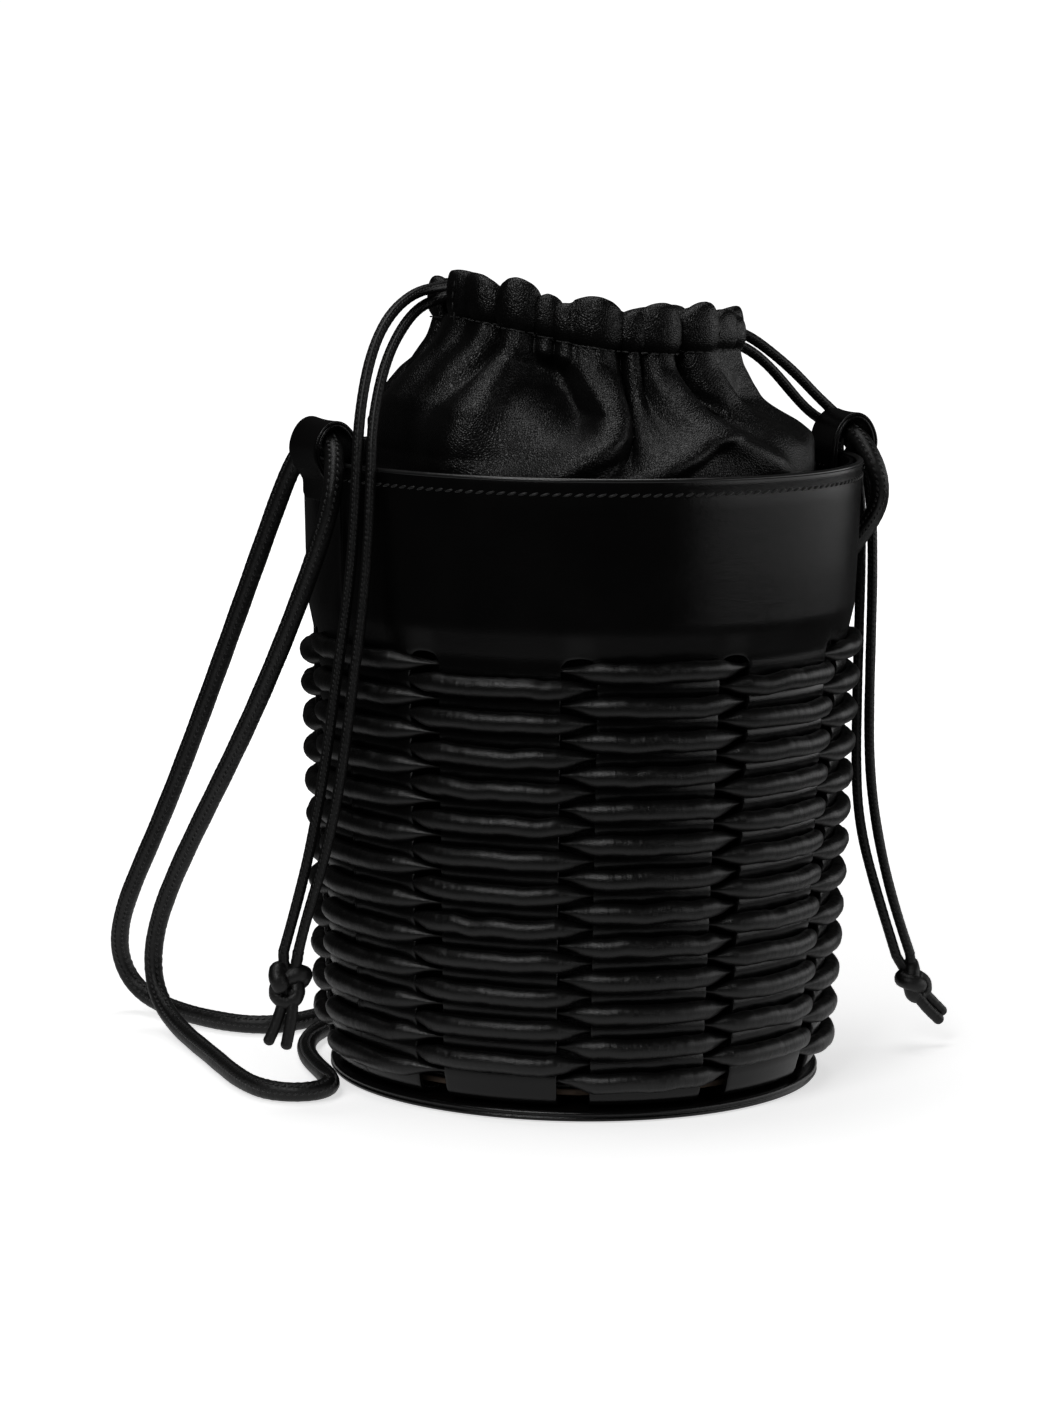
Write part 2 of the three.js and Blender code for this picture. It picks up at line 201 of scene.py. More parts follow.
# ---- meshes ----
def add_piece(name, vertices, faces, material, uv=None, smooth=True):
    """A mesh object from points in millimetres. uv gives every face corner its place."""
    mesh = bpy.data.meshes.new(name)
    mesh.from_pydata((np.asarray(vertices, float) * MM).tolist(), [], faces)
    mesh.polygons.foreach_set("use_smooth", [smooth] * len(mesh.polygons))
    if uv is not None:
        layer = mesh.uv_layers.new(name="UVMap")
        layer.data.foreach_set("uv", np.asarray(uv, np.float32).ravel())
    mesh.materials.append(material)
    piece = bpy.data.objects.new(name, mesh)
    bpy.context.scene.collection.objects.link(piece)
    return piece


def loft(name, rings, material, caps=True, closed_along=False):
    """A skin over closed rings of points. Its UV runs round in turns and along in millimetres."""
    rings = np.asarray(rings, float)
    count, around = rings.shape[:2]
    middles = rings.mean(1)
    lengths = np.concatenate([[0], np.cumsum(np.linalg.norm(np.diff(middles, axis=0), axis=1))])
    if lengths[-1] < 1:
        steps = np.linalg.norm(np.diff(rings[:, 0], axis=0), axis=1)
        lengths = np.concatenate([[0], np.cumsum(steps)])
    last = count if closed_along else count - 1
    faces = []
    uv = []
    for i in range(last):
        after = (i + 1) % count
        start = lengths[i]
        end = lengths[after] if after else lengths[i] + 1
        for j in range(around):
            beside = (j + 1) % around
            faces.append((i * around + j, i * around + beside, after * around + beside, after * around + j))
            uv += [(j / around, start), ((j + 1) / around, start), ((j + 1) / around, end), (j / around, end)]
    vertices = rings.reshape(-1, 3)
    if caps and not closed_along:
        for ring, flip in ((0, True), (count - 1, False)):
            centre = len(vertices)
            vertices = np.vstack([vertices, rings[ring].mean(0)])
            for j in range(around):
                pair = (ring * around + j, ring * around + (j + 1) % around)
                faces.append((pair[1], pair[0], centre) if flip else (pair[0], pair[1], centre))
                uv += [(j / around, lengths[ring])] * 3
    return add_piece(name, vertices, faces, material, uv)


def polar(radius, angle, z):
    turn = np.radians(angle)
    return np.stack(np.broadcast_arrays(radius * np.cos(turn), radius * np.sin(turn), z), -1)


def turned(name, profile, material, segments=144):
    """A closed profile of radius and height turned about Z."""
    angles = np.arange(segments) * 360 / segments
    rings = [[(r * math.cos(math.radians(a)), r * math.sin(math.radians(a)), z) for r, z in profile] for a in angles]
    return loft(name, rings, material, closed_along=True)


def lean(points):
    """Lets the gathered neck fall away towards +X, more the higher it is."""
    share = np.clip((points[..., 2] - LEAN_FROM) / (CHANNEL_MIDDLE - 8 - LEAN_FROM), 0, 1)
    points[..., 2] -= NECK_LEAN * points[..., 0] * share
    return points


def rounded(piece, width, segments=3, angle=35):
    """Rounds the sharp edges of a piece and keeps the result in its mesh."""
    bevel = piece.modifiers.new("rounded edges", "BEVEL")
    bevel.width = width * MM
    bevel.segments = segments
    bevel.limit_method = "ANGLE"
    bevel.angle_limit = math.radians(angle)
    keep_modifiers(piece)


def thickened(piece, thickness, offset):
    shell = piece.modifiers.new("thickness", "SOLIDIFY")
    shell.thickness = thickness * MM
    shell.offset = offset
    keep_modifiers(piece)


def keep_modifiers(piece):
    bpy.context.view_layer.update()
    evaluated = piece.evaluated_get(bpy.context.evaluated_depsgraph_get())
    result = bpy.data.meshes.new_from_object(evaluated)
    piece.modifiers.clear()
    piece.data = result


# ---- curves ----
def limp_line(route, steps):
    """A cubic B-spline from the first to the last point of a route, as a limp cord lies."""
    route = np.asarray(route, float)
    points = np.vstack([2 * route[0] - route[1], route, 2 * route[-1] - route[-2]])
    line = []
    for span in range(len(route) - 1):
        for k in range(steps + (span == len(route) - 2)):
            u = k / steps
            weights = np.array([(1 - u) ** 3, 3 * u**3 - 6 * u**2 + 4, -3 * u**3 + 3 * u**2 + 3 * u + 1, u**3])
            line.append(weights @ points[span : span + 4] / 6)
    return np.array(line)


def even_line(line, spacing):
    """The same line with its points an even distance apart."""
    steps = np.linalg.norm(np.diff(line, axis=0), axis=1)
    lengths = np.concatenate([[0], np.cumsum(steps)])
    places = np.linspace(0, lengths[-1], max(2, round(lengths[-1] / spacing) + 1))
    return np.stack([np.interp(places, lengths, line[:, k]) for k in range(3)], 1)


def frames_along(line, start):
    """Tangents, and two directions across the line that turn as little as they can."""
    tangents = np.gradient(line, axis=0)
    tangents /= np.linalg.norm(tangents, axis=1)[:, None]
    across = np.asarray(start, float)
    list_across = []
    for tangent in tangents:
        across = across - tangent * (across @ tangent)
        across = across / np.linalg.norm(across)
        list_across.append(across)
    across = np.array(list_across)
    return tangents, across, np.cross(tangents, across)


def frames_facing(line, toward):
    """Frames whose third direction stays as near as it can to one way, for a seam that doesn't twist."""
    tangents = np.gradient(line, axis=0)
    tangents /= np.linalg.norm(tangents, axis=1)[:, None]
    facing = np.asarray(toward, float) - tangents * (tangents @ np.asarray(toward, float))[:, None]
    facing /= np.linalg.norm(facing, axis=1)[:, None]
    return tangents, np.cross(facing, tangents), facing


# ---- camera, floor and lights ----
def camera():
    data = bpy.data.cameras.new("camera")
    data.lens = 106.4
    data.sensor_width = 36
    data.clip_start = 0.01
    piece = bpy.data.objects.new("camera", data)
    bpy.context.scene.collection.objects.link(piece)
    turn = Matrix.Rotation(math.radians(-20), 4, "Z") @ Matrix.Rotation(math.radians(90 - 8.44), 4, "X")
    roll = Matrix.Rotation(math.radians(0.77), 4, "Z")
    piece.matrix_world = Matrix.Translation((-0.4593, -1.2163, 0.308)) @ turn @ roll
    bpy.context.scene.camera = piece


def soft_light(name, place, aim, size, power):
    data = bpy.data.lights.new(name, "AREA")
    data.shape = "RECTANGLE"
    data.size, data.size_y = size
    data.energy = power
    piece = bpy.data.objects.new(name, data)
    bpy.context.scene.collection.objects.link(piece)
    direction = Matrix.Translation(place).to_translation() - Matrix.Translation(aim).to_translation()
    piece.matrix_world = Matrix.Translation(place) @ direction.to_track_quat("Z", "Y").to_matrix().to_4x4()


def studio():
    size = 6000
    corners = [(-size, -size, 0), (size, -size, 0), (size, size, 0), (-size, size, 0)]
    floor = add_piece("floor", corners, [(0, 1, 2, 3)], floor_paint())
    floor.location.z = -0.0002
    soft_light("large light above on the left", (-1.3, -1.3, 1.5), (0, 0, 0.1), (1.0, 0.8), 16)
    soft_light("wide low light on the right", (1.5, -0.45, 0.34), (0, 0, 0.14), (3.0, 0.8), 8.5)
    soft_light("light overhead", (-0.1, 0.35, 1.9), (0, 0, 0), (1.6, 0.8), 11)
    world = bpy.data.worlds.new("studio")
    world.use_nodes = True
    graph = Graph(world.node_tree)
    background = world.node_tree.nodes["Background"]
    seen = graph.node("ShaderNodeLightPath")
    graph.feed(background.inputs["Color"], (1, 1, 1, 1))
    graph.feed(background.inputs["Strength"], seen * 1.05 + 0.012)
    bpy.context.scene.world = world
    bpy.context.scene.view_settings.view_transform = "Standard"


# ---- finishes ----
def new_material(name, base, roughness, sockets=None):
    material = bpy.data.materials.new(name)
    material.use_nodes = True
    graph = Graph(material.node_tree)
    shader = material.node_tree.nodes["Principled BSDF"]
    graph.feed(shader.inputs["Base Color"], base)
    graph.feed(shader.inputs["Roughness"], roughness)
    for key, value in (sockets or {}).items():
        graph.feed(shader.inputs[key], value)
    material.diffuse_color = base if isinstance(base, tuple) else (0.02, 0.02, 0.02, 1)
    return material, graph, shader


def floor_paint():
    """A pale floor that glows a little more the farther it is, with a white patch for the leather to mirror."""
    material, graph, pale = new_material("pale studio floor", (0.95, 0.95, 0.95, 1), 0.8)
    away = graph.node("ShaderNodeVectorMath", {"operation": "LENGTH"}, {0: place_on_object(graph)}, output="Value")
    graph.feed(pale.inputs["Emission Color"], (1, 1, 1, 1))
    graph.feed(pale.inputs["Emission Strength"], graph.math("MINIMUM", away * 0.5 + 0.6, 1.1))
    patch = graph.math("MAXIMUM", 0.42 - graph.math("MAXIMUM", away - 0.14, 0.0) * 1.6, 0.02)
    mirrored = graph.node("ShaderNodeEmission", sockets={"Color": (1, 1, 1, 1), "Strength": patch})
    seen = graph.node("ShaderNodeLightPath")
    mix = material.node_tree.nodes.new("ShaderNodeMixShader")
    graph.feed(mix.inputs[0], seen)
    graph.feed(mix.inputs[1], mirrored)
    material.node_tree.links.new(pale.outputs[0], mix.inputs[2])
    material.node_tree.links.new(mix.outputs[0], material.node_tree.nodes["Material Output"].inputs["Surface"])
    return material


def place_on_object(graph):
    return graph.node("ShaderNodeTexCoord", output="Object")


def noise(graph, place, scale, detail=3.0, roughness=0.5):
    sockets = {"Vector": place, "Scale": scale, "Detail": detail, "Roughness": roughness}
    return graph.node("ShaderNodeTexNoise", sockets=sockets)


def pebbles(graph, place, scale):
    """Leather's grain: 0 in the creases and 1 on the pebbles."""
    sockets = {"Vector": place, "Scale": scale, "Randomness": 1.0}
    edge = graph.node("ShaderNodeTexVoronoi", {"feature": "DISTANCE_TO_EDGE"}, sockets)
    return graph.math("MINIMUM", edge * 3.2, 1.0)


def bumped(graph, shader, height, distance, strength=1.0):
    bump = graph.node("ShaderNodeBump", sockets={"Height": height, "Distance": distance, "Strength": strength})
    graph.feed(shader.inputs["Normal"], bump)


def tint(graph, shade, dark, light):
    """A colour between dark and light, by a value from 0 to 1."""
    settings = {"data_type": "RGBA"}
    mix = graph.tree.nodes.new("ShaderNodeMix")
    mix.data_type = settings["data_type"]
    graph.feed(mix.inputs["Factor"], shade)
    mix.inputs[6].default_value = (*dark, 1)
    mix.inputs[7].default_value = (*light, 1)
    return Value(graph, mix.outputs[2])


def band_leather():
    material, graph, shader = new_material(
        "glossy band leather", (0.003, 0.003, 0.003, 1), 0.3, {"Specular IOR Level": 0.4},
    )
    place = place_on_object(graph)
    grain = pebbles(graph, place, 1500)
    cloudy = noise(graph, place, 60)
    graph.feed(shader.inputs["Roughness"], cloudy * 0.12 + 0.18)
    graph.feed(shader.inputs["Base Color"], tint(graph, cloudy, (0.0014, 0.0014, 0.0014), (0.003, 0.0028, 0.0028)))
    bumped(graph, shader, grain * 0.35 + noise(graph, place, 420) * 0.6, 0.00012, 0.5)
    return material


def cord_leather(name, wrinkle_length, depth, roughness):
    """Leather rolled into a cord: wrinkles run across it. UV is turns round and millimetres along."""
    material, graph, shader = new_material(
        name, (0.004, 0.004, 0.004, 1), roughness, {"Specular IOR Level": 0.5},
    )
    uv = graph.node("ShaderNodeUVMap", {"uv_map": "UVMap"})
    parts = graph.node("ShaderNodeSeparateXYZ", sockets={"Vector": uv})
    along = graph.other(parts, "Y")
    stretched = graph.node("ShaderNodeCombineXYZ", sockets={"X": parts * 2.2, "Y": along / wrinkle_length})
    wrinkles = noise(graph, stretched, 1.0, 4.0, 0.6)
    place = place_on_object(graph)
    cloudy = noise(graph, place, 180)
    graph.feed(shader.inputs["Roughness"], cloudy * 0.2 + (roughness - 0.1))
    graph.feed(shader.inputs["Base Color"], tint(graph, wrinkles, (0.002, 0.002, 0.002), (0.006, 0.0058, 0.0056)))
    bumped(graph, shader, wrinkles + pebbles(graph, place, 2400) * 0.12, depth)
    return material


def pouch_leather():
    material, graph, shader = new_material(
        "soft pouch leather", (0.004, 0.004, 0.004, 1), 0.5, {"Specular IOR Level": 0.34},
    )
    place = place_on_object(graph)
    grain = pebbles(graph, place, 1350)
    creases = noise(graph, place, 300, 4.0, 0.55)
    cloudy = noise(graph, place, 45)
    graph.feed(shader.inputs["Roughness"], cloudy * 0.12 + 0.28)
    graph.feed(shader.inputs["Base Color"], tint(graph, grain, (0.0014, 0.0014, 0.0014), (0.0045, 0.0043, 0.0043)))
    bumped(graph, shader, grain * 0.55 + creases * 0.5, 0.00022, 0.7)
    return material


def painted_edge():
    material, graph, shader = new_material(
        "painted edge", (0.03, 0.03, 0.03, 1), 0.3, {"Coat Weight": 0.3, "Coat Roughness": 0.15}
    )
    place = place_on_object(graph)
    lumps = noise(graph, place, 260)
    graph.feed(shader.inputs["Base Color"], tint(graph, lumps, (0.006, 0.006, 0.006), (0.02, 0.02, 0.02)))
    bumped(graph, shader, lumps, 0.0002, 0.5)
    return material


def sewing_thread():
    material, graph, shader = new_material("black sewing thread", (0.01, 0.01, 0.01, 1), 0.45, {"Sheen Weight": 0.2})
    place = place_on_object(graph)
    bumped(graph, shader, noise(graph, place, 2600), 0.0001, 0.6)
    graph.feed(shader.inputs["Base Color"], tint(graph, noise(graph, place, 900), (0.003,) * 3, (0.012,) * 3))
    return material


def base_board():
    material, graph, shader = new_material("leather board", (0.08, 0.05, 0.035, 1), 0.85)
    place = place_on_object(graph)
    fibres = noise(graph, place, 700, 5.0)
    graph.feed(shader.inputs["Base Color"], tint(graph, fibres, (0.05, 0.035, 0.025), (0.11, 0.075, 0.05)))
    bumped(graph, shader, fibres, 0.0003, 0.6)
    return material


BAND = band_leather()
WEAVE = cord_leather("glossy woven cord leather", 1.6, 0.00022, 0.34)
STRAP_LEATHER = cord_leather("rolled strap leather", 1.4, 0.0003, 0.4)
DRAWCORD_LEATHER = cord_leather("rolled drawcord leather", 1.1, 0.0002, 0.42)
POUCH = pouch_leather()
EDGE = painted_edge()
THREAD = sewing_thread()
BOARD = base_board()


# ---- stitches ----
def stitch_tree():
    """Places a short rounded stitch at even steps along a line that knows which way it faces."""
    tree = bpy.data.node_groups.new("row_of_stitches", "GeometryNodeTree")
    tree.interface.new_socket("Line", in_out="INPUT", socket_type="NodeSocketGeometry")
    for name in ("Spacing", "Stitch length", "Thread width", "Slant"):
        tree.interface.new_socket(name, in_out="INPUT", socket_type="NodeSocketFloat")
    tree.interface.new_socket("Material", in_out="INPUT", socket_type="NodeSocketMaterial")
    tree.interface.new_socket("Stitches", in_out="OUTPUT", socket_type="NodeSocketGeometry")
    graph = Graph(tree)
    line = graph.node("NodeGroupInput")
    given = ("Spacing", "Stitch length", "Thread width", "Slant", "Material")
    wanted = {name: graph.other(line, name) for name in given}
    curve = graph.node("GeometryNodeMeshToCurve", sockets={"Mesh": line})
    steps = graph.node("GeometryNodeResampleCurve", {"mode": "LENGTH"}, {"Curve": curve, "Length": wanted["Spacing"]})
    bean = graph.node("GeometryNodeMeshUVSphere", sockets={"Segments": 8, "Rings": 6, "Radius": 0.5})
    size = {"X": wanted["Stitch length"], "Y": wanted["Thread width"], "Z": wanted["Thread width"]}
    size = graph.node("ShaderNodeCombineXYZ", sockets=size)
    slant = graph.node("ShaderNodeCombineXYZ", sockets={"Z": wanted["Slant"]})
    bean = graph.node("GeometryNodeTransform", sockets={"Geometry": bean, "Scale": size})
    bean = graph.node("GeometryNodeTransform", sockets={"Geometry": bean, "Rotation": slant})
    facing = graph.node("GeometryNodeInputNamedAttribute", {"data_type": "FLOAT_VECTOR"}, {"Name": "facing"})
    tangent = graph.node("GeometryNodeInputTangent")
    axes = {"primary_axis": "Z", "secondary_axis": "X"}
    turn = graph.node("FunctionNodeAxesToRotation", axes, {"Primary Axis": facing, "Secondary Axis": tangent})
    put = {"Points": steps, "Instance": bean, "Rotation": turn}
    stitches = graph.node("GeometryNodeInstanceOnPoints", sockets=put)
    stitches = graph.node("GeometryNodeRealizeInstances", sockets={"Geometry": stitches})
    stitches = graph.node("GeometryNodeSetShadeSmooth", sockets={"Geometry": stitches})
    made = {"Geometry": stitches, "Material": wanted["Material"]}
    stitches = graph.node("GeometryNodeSetMaterial", sockets=made)
    graph.node("NodeGroupOutput", sockets={"Stitches": stitches})
    return tree


STITCHES = stitch_tree()


def line_mesh(name, lines, facings):
    """Edges along one or more lines, whose points carry the way that they face."""
    vertices = np.vstack(lines) * MM
    edges = []
    start = 0
    for line in lines:
        edges += [(start + i, start + i + 1) for i in range(len(line) - 1)]
        start += len(line)
    mesh = bpy.data.meshes.new(name)
    mesh.from_pydata(vertices.tolist(), edges, [])
    attribute = mesh.attributes.new("facing", "FLOAT_VECTOR", "POINT")
    attribute.data.foreach_set("vector", np.vstack(facings).astype(np.float32).ravel())
    return mesh


def stitched(name, lines, facings, spacing, length, width, slant=0.0, body="basket"):
    inputs = {
        "Spacing": spacing * MM, "Stitch length": length * MM, "Thread width": width * MM,
        "Slant": math.radians(slant), "Material": THREAD,
    }
    piece = bake_nodes(name, line_mesh(name, lines, facings), STITCHES, inputs)
    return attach(piece, body)


camera()
studio()


# ---- cords ----
def join(name, pieces):
    """One object from several made at the origin."""
    with bpy.context.temp_override(active_object=pieces[0], selected_editable_objects=pieces, object=pieces[0]):
        bpy.ops.object.join()
    pieces[0].name = name
    return pieces[0]


def cord_rings(line, diameter, frames, around=20, seam=0.0, wrinkle=0.0, seed=1):
    """Rings of a rolled cord: a seam ridge runs along it, and it wrinkles where it bends."""
    tangents, across, beside = frames
    rng = random.Random(seed)
    phase = rng.random() * 6
    turns = np.arange(around) * 2 * math.pi / around
    steps = np.linalg.norm(np.diff(line, axis=0), axis=1)
    lengths = np.concatenate([[0], np.cumsum(steps)])
    bends = np.gradient(tangents, axis=0) / np.gradient(lengths)[:, None]
    rings = []
    for i, centre in enumerate(line):
        s = lengths[i]
        outward = np.outer(np.cos(turns), across[i]) + np.outer(np.sin(turns), beside[i])
        inside = np.clip(outward @ bends[i] * diameter * 0.9, 0, 0.5)
        ripple = math.sin(s * 2.3 + phase) * 0.5 + math.sin(s * 3.9 + 2 * phase) * 0.3
        radius = diameter / 2 * (1 + wrinkle * 0.25 * math.sin(s * 0.31 + phase))
        radius = radius + wrinkle * diameter * (ripple * (0.25 + inside * 2.2))
        ridge = np.exp(-(((turns - math.pi / 2 + math.pi) % (2 * math.pi) - math.pi) / 0.3) ** 2)
        groove = np.exp(-((np.abs((turns - math.pi / 2 + math.pi) % (2 * math.pi) - math.pi) - 0.62) / 0.22) ** 2)
        teeth = 0.75 + 0.25 * math.sin(s * 2 * math.pi / 1.9)
        radius = radius + seam * (ridge * teeth - groove * 0.4)
        rings.append(centre + outward * radius[:, None])
    return np.array(rings)


def seam_threads(name, line, diameter, frames, spacing):
    """Small slanting stitches along both sides of a cord's seam ridge."""
    _, across, beside = frames
    lines = []
    facings = []
    for turn in (0.42, -0.42):
        out = beside * math.cos(turn) + across * math.sin(turn)
        lines.append(line + out * (diameter / 2 + 0.06))
        facings.append(out)
    inputs = {
        "Spacing": spacing * MM, "Stitch length": spacing * 0.75 * MM, "Thread width": diameter * 0.12 * MM,
        "Slant": math.radians(24), "Material": THREAD,
    }
    return bake_nodes(name, line_mesh(name, lines, facings), STITCHES, inputs)


def free_cord(name, route, diameter, material, spacing, **look):
    line = even_line(limp_line(route, 8), spacing)
    frames = frames_facing(line, SEAM_TOWARD)
    rings = cord_rings(line, diameter, frames, **look)
    piece = loft(name, rings, material)
    threads = seam_threads(name + "_seam", line, diameter, frames, diameter * 0.2 + 0.9)
    piece = join(name, [piece, threads])
    return piece, line


def drawcord(name, route, seed):
    look = {"around": 18, "seam": 0.32, "wrinkle": 0.05, "seed": seed}
    return free_cord(name, route, DRAWCORD, DRAWCORD_LEATHER, 0.7, **look)


CORD_ROUTES = {
    "left_rear_cord": (LEFT_REAR_END, 3),
    "left_front_cord": (LEFT_FRONT_END, 5),
    "right_rear_cord": (RIGHT_REAR_END, 7),
    "right_front_cord": (RIGHT_FRONT_END, 9),
}


def make_drawcords():
    lines = {}
    pieces = {}
    for name, (route, seed) in CORD_ROUTES.items():
        pieces[name], lines[name] = drawcord(name.replace("_cord", "_drawcord"), route, seed)
    return pieces, lines


DRAWCORDS, DRAWCORD_LINES = make_drawcords()


def trefoil(size, flat, turn_about, tilt, middle, axis="Z"):
    """The closed-up loop of an overhand knot, open between two of its lobes."""
    line = []
    for k in range(240):
        t = (0.06 + 0.88 * k / 239) * 2 * math.pi
        x = math.sin(t) + 2 * math.sin(2 * t)
        y = math.cos(t) - 2 * math.cos(2 * t)
        z = -math.sin(3 * t)
        line.append((x, y, z * flat))
    line = np.array(line) * size
    turn = Matrix.Rotation(math.radians(tilt), 3, "Y") @ Matrix.Rotation(math.radians(turn_about), 3, "Z")
    turn = turn @ Matrix.Rotation(math.radians(90), 3, "X")
    if axis == "X":
        turn = Matrix.Rotation(math.radians(90), 3, "Z") @ turn
    return line @ np.array(turn).T + np.asarray(middle, float)


def knot_piece(name, line, cord, material, seed, seam=0.25):
    line = even_line(line, 0.5)
    rings = cord_rings(line, cord, frames_along(line, (0.3, 0.2, 1)), around=16, seam=seam, wrinkle=0.06, seed=seed)
    piece = loft(name, rings, material)
    return piece


def short_end(name, points, cord, seed):
    line = even_line(limp_line(points, 8), 0.5)
    rings = cord_rings(line, cord, frames_along(line, (0.2, 0.3, 1)), around=16, seam=0.25, wrinkle=0.05, seed=seed)
    tip = line[-1]
    direction = line[-1] - line[-2]
    direction /= np.linalg.norm(direction)
    cap = [tip + direction * cord * 0.42 * math.sin(a) + (rings[-1] - tip) * math.cos(a) for a in (0.4, 0.8, 1.2, 1.45)]
    piece = loft(name, np.concatenate([rings, np.array(cap)]), DRAWCORD_LEATHER)
    return piece


KNOT_END = 3.6
KNOT_CORD = 5.3


def make_knots():
    left = [
        knot_piece(
            "left_overhand_knot", trefoil(1.8, 1.0, 12, 12, (-103.5, -28.8, 38.6)),
            KNOT_CORD, DRAWCORD_LEATHER, 21,
        ),
        short_end("left_knot_neck", [(-104.8, -27.6, 48.6), (-104.9, -27.8, 45), (-104.2, -28.6, 41)], DRAWCORD, 27),
        short_end("left_knot_neck", [(-101, -30.2, 48.6), (-101.4, -30, 45), (-102.4, -29.4, 41)], DRAWCORD, 28),
        short_end(
            "left_knot_end",
            [(-103.8, -28.6, 37), (-105.6, -28.6, 31), (-107.6, -28.4, 25), (-109.4, -28, 21)],
            KNOT_END, 22,
        ),
        short_end(
            "left_knot_end",
            [(-102.6, -30.2, 37), (-102.8, -31.0, 31), (-103.8, -31.2, 25), (-104.8, -31.0, 20)],
            KNOT_END, 23,
        ),
    ]
    right = [
        knot_piece(
            "right_overhand_knot", trefoil(1.8, 1.0, 60, -38, (115.6, -6, 21.2)),
            KNOT_CORD, DRAWCORD_LEATHER, 24,
        ),
        short_end("right_knot_neck", [(114.4, -5.5, 30.4), (115, -5.6, 27), (115.4, -6, 23)], DRAWCORD, 29),
        short_end("right_knot_neck", [(110.2, -4.1, 29.6), (111.6, -4.6, 27), (114, -5.6, 23)], DRAWCORD, 30),
        short_end("right_knot_end", [(117, -6, 20), (121, -6.4, 15.6), (126, -6.8, 10.6)], KNOT_END, 25),
        short_end("right_knot_end", [(115.4, -7.4, 18), (119, -8.2, 13), (124, -8.8, 8.4)], KNOT_END, 26),
    ]
    return join("left_overhand_knot", left), join("right_overhand_knot", right)


LEFT_KNOT, RIGHT_KNOT = make_knots()


def make_strap():
    piece, line = free_cord(
        "shoulder_strap_cord", STRAP_ROUTE, STRAP, STRAP_LEATHER, 1.1,
        around=22, seam=0.45, wrinkle=0.045, seed=31,
    )
    loops = trefoil(2.35, 1.0, 0, 0, STRAP_KNOT_MIDDLE, "X")
    knot = knot_piece("strap_overhand_knot", loops, 5.4, STRAP_LEATHER, 32, 0.35)
    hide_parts("strap_cord")
    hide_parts("strap_knot")
    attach(piece, "basket")
    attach(knot, "basket")
    return piece, knot


make_strap()


def declare_drawcords():
    bodies = {"left": ("left_cords", LEFT_KNOT), "right": ("right_cords", RIGHT_KNOT)}
    for name, piece in DRAWCORDS.items():
        body, knot = bodies[name.split("_")[0]]
        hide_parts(name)
        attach(piece, body)
    for side, (body, knot) in bodies.items():
        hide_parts(side + "_knot")
        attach(knot, body)


declare_drawcords()


# ---- the woven wall ----
def wall_radius(z):
    heights = [h for r, h in WALL_PROFILE][::-1]
    radii = [r for r, h in WALL_PROFILE][::-1]
    return np.interp(z, heights, radii)


def stake_count(graph, angle):
    """How many stakes a weaver has passed, counted from the left side stake, at an angle from it."""
    first = SIDE_STAKE / 2 + SLIT + STAKE / 2
    between = STAKE + SLIT
    half = graph.math("FLOOR", angle / 180)
    rest = angle - half * 180
    quicker = 1 / between - 1 / first
    past_first = graph.math("MAXIMUM", rest - first, 0.0)
    past_last = graph.math("MAXIMUM", rest - (180 - first), 0.0)
    return half * 5 + rest / first + past_first * quicker - past_last * quicker


def eased(graph, value):
    """A value kept between 0 and 1 that starts and stops gently."""
    kept = graph.math("MINIMUM", graph.math("MAXIMUM", value, 0.0), 1.0)
    return kept * kept * (kept * -2 + 3)


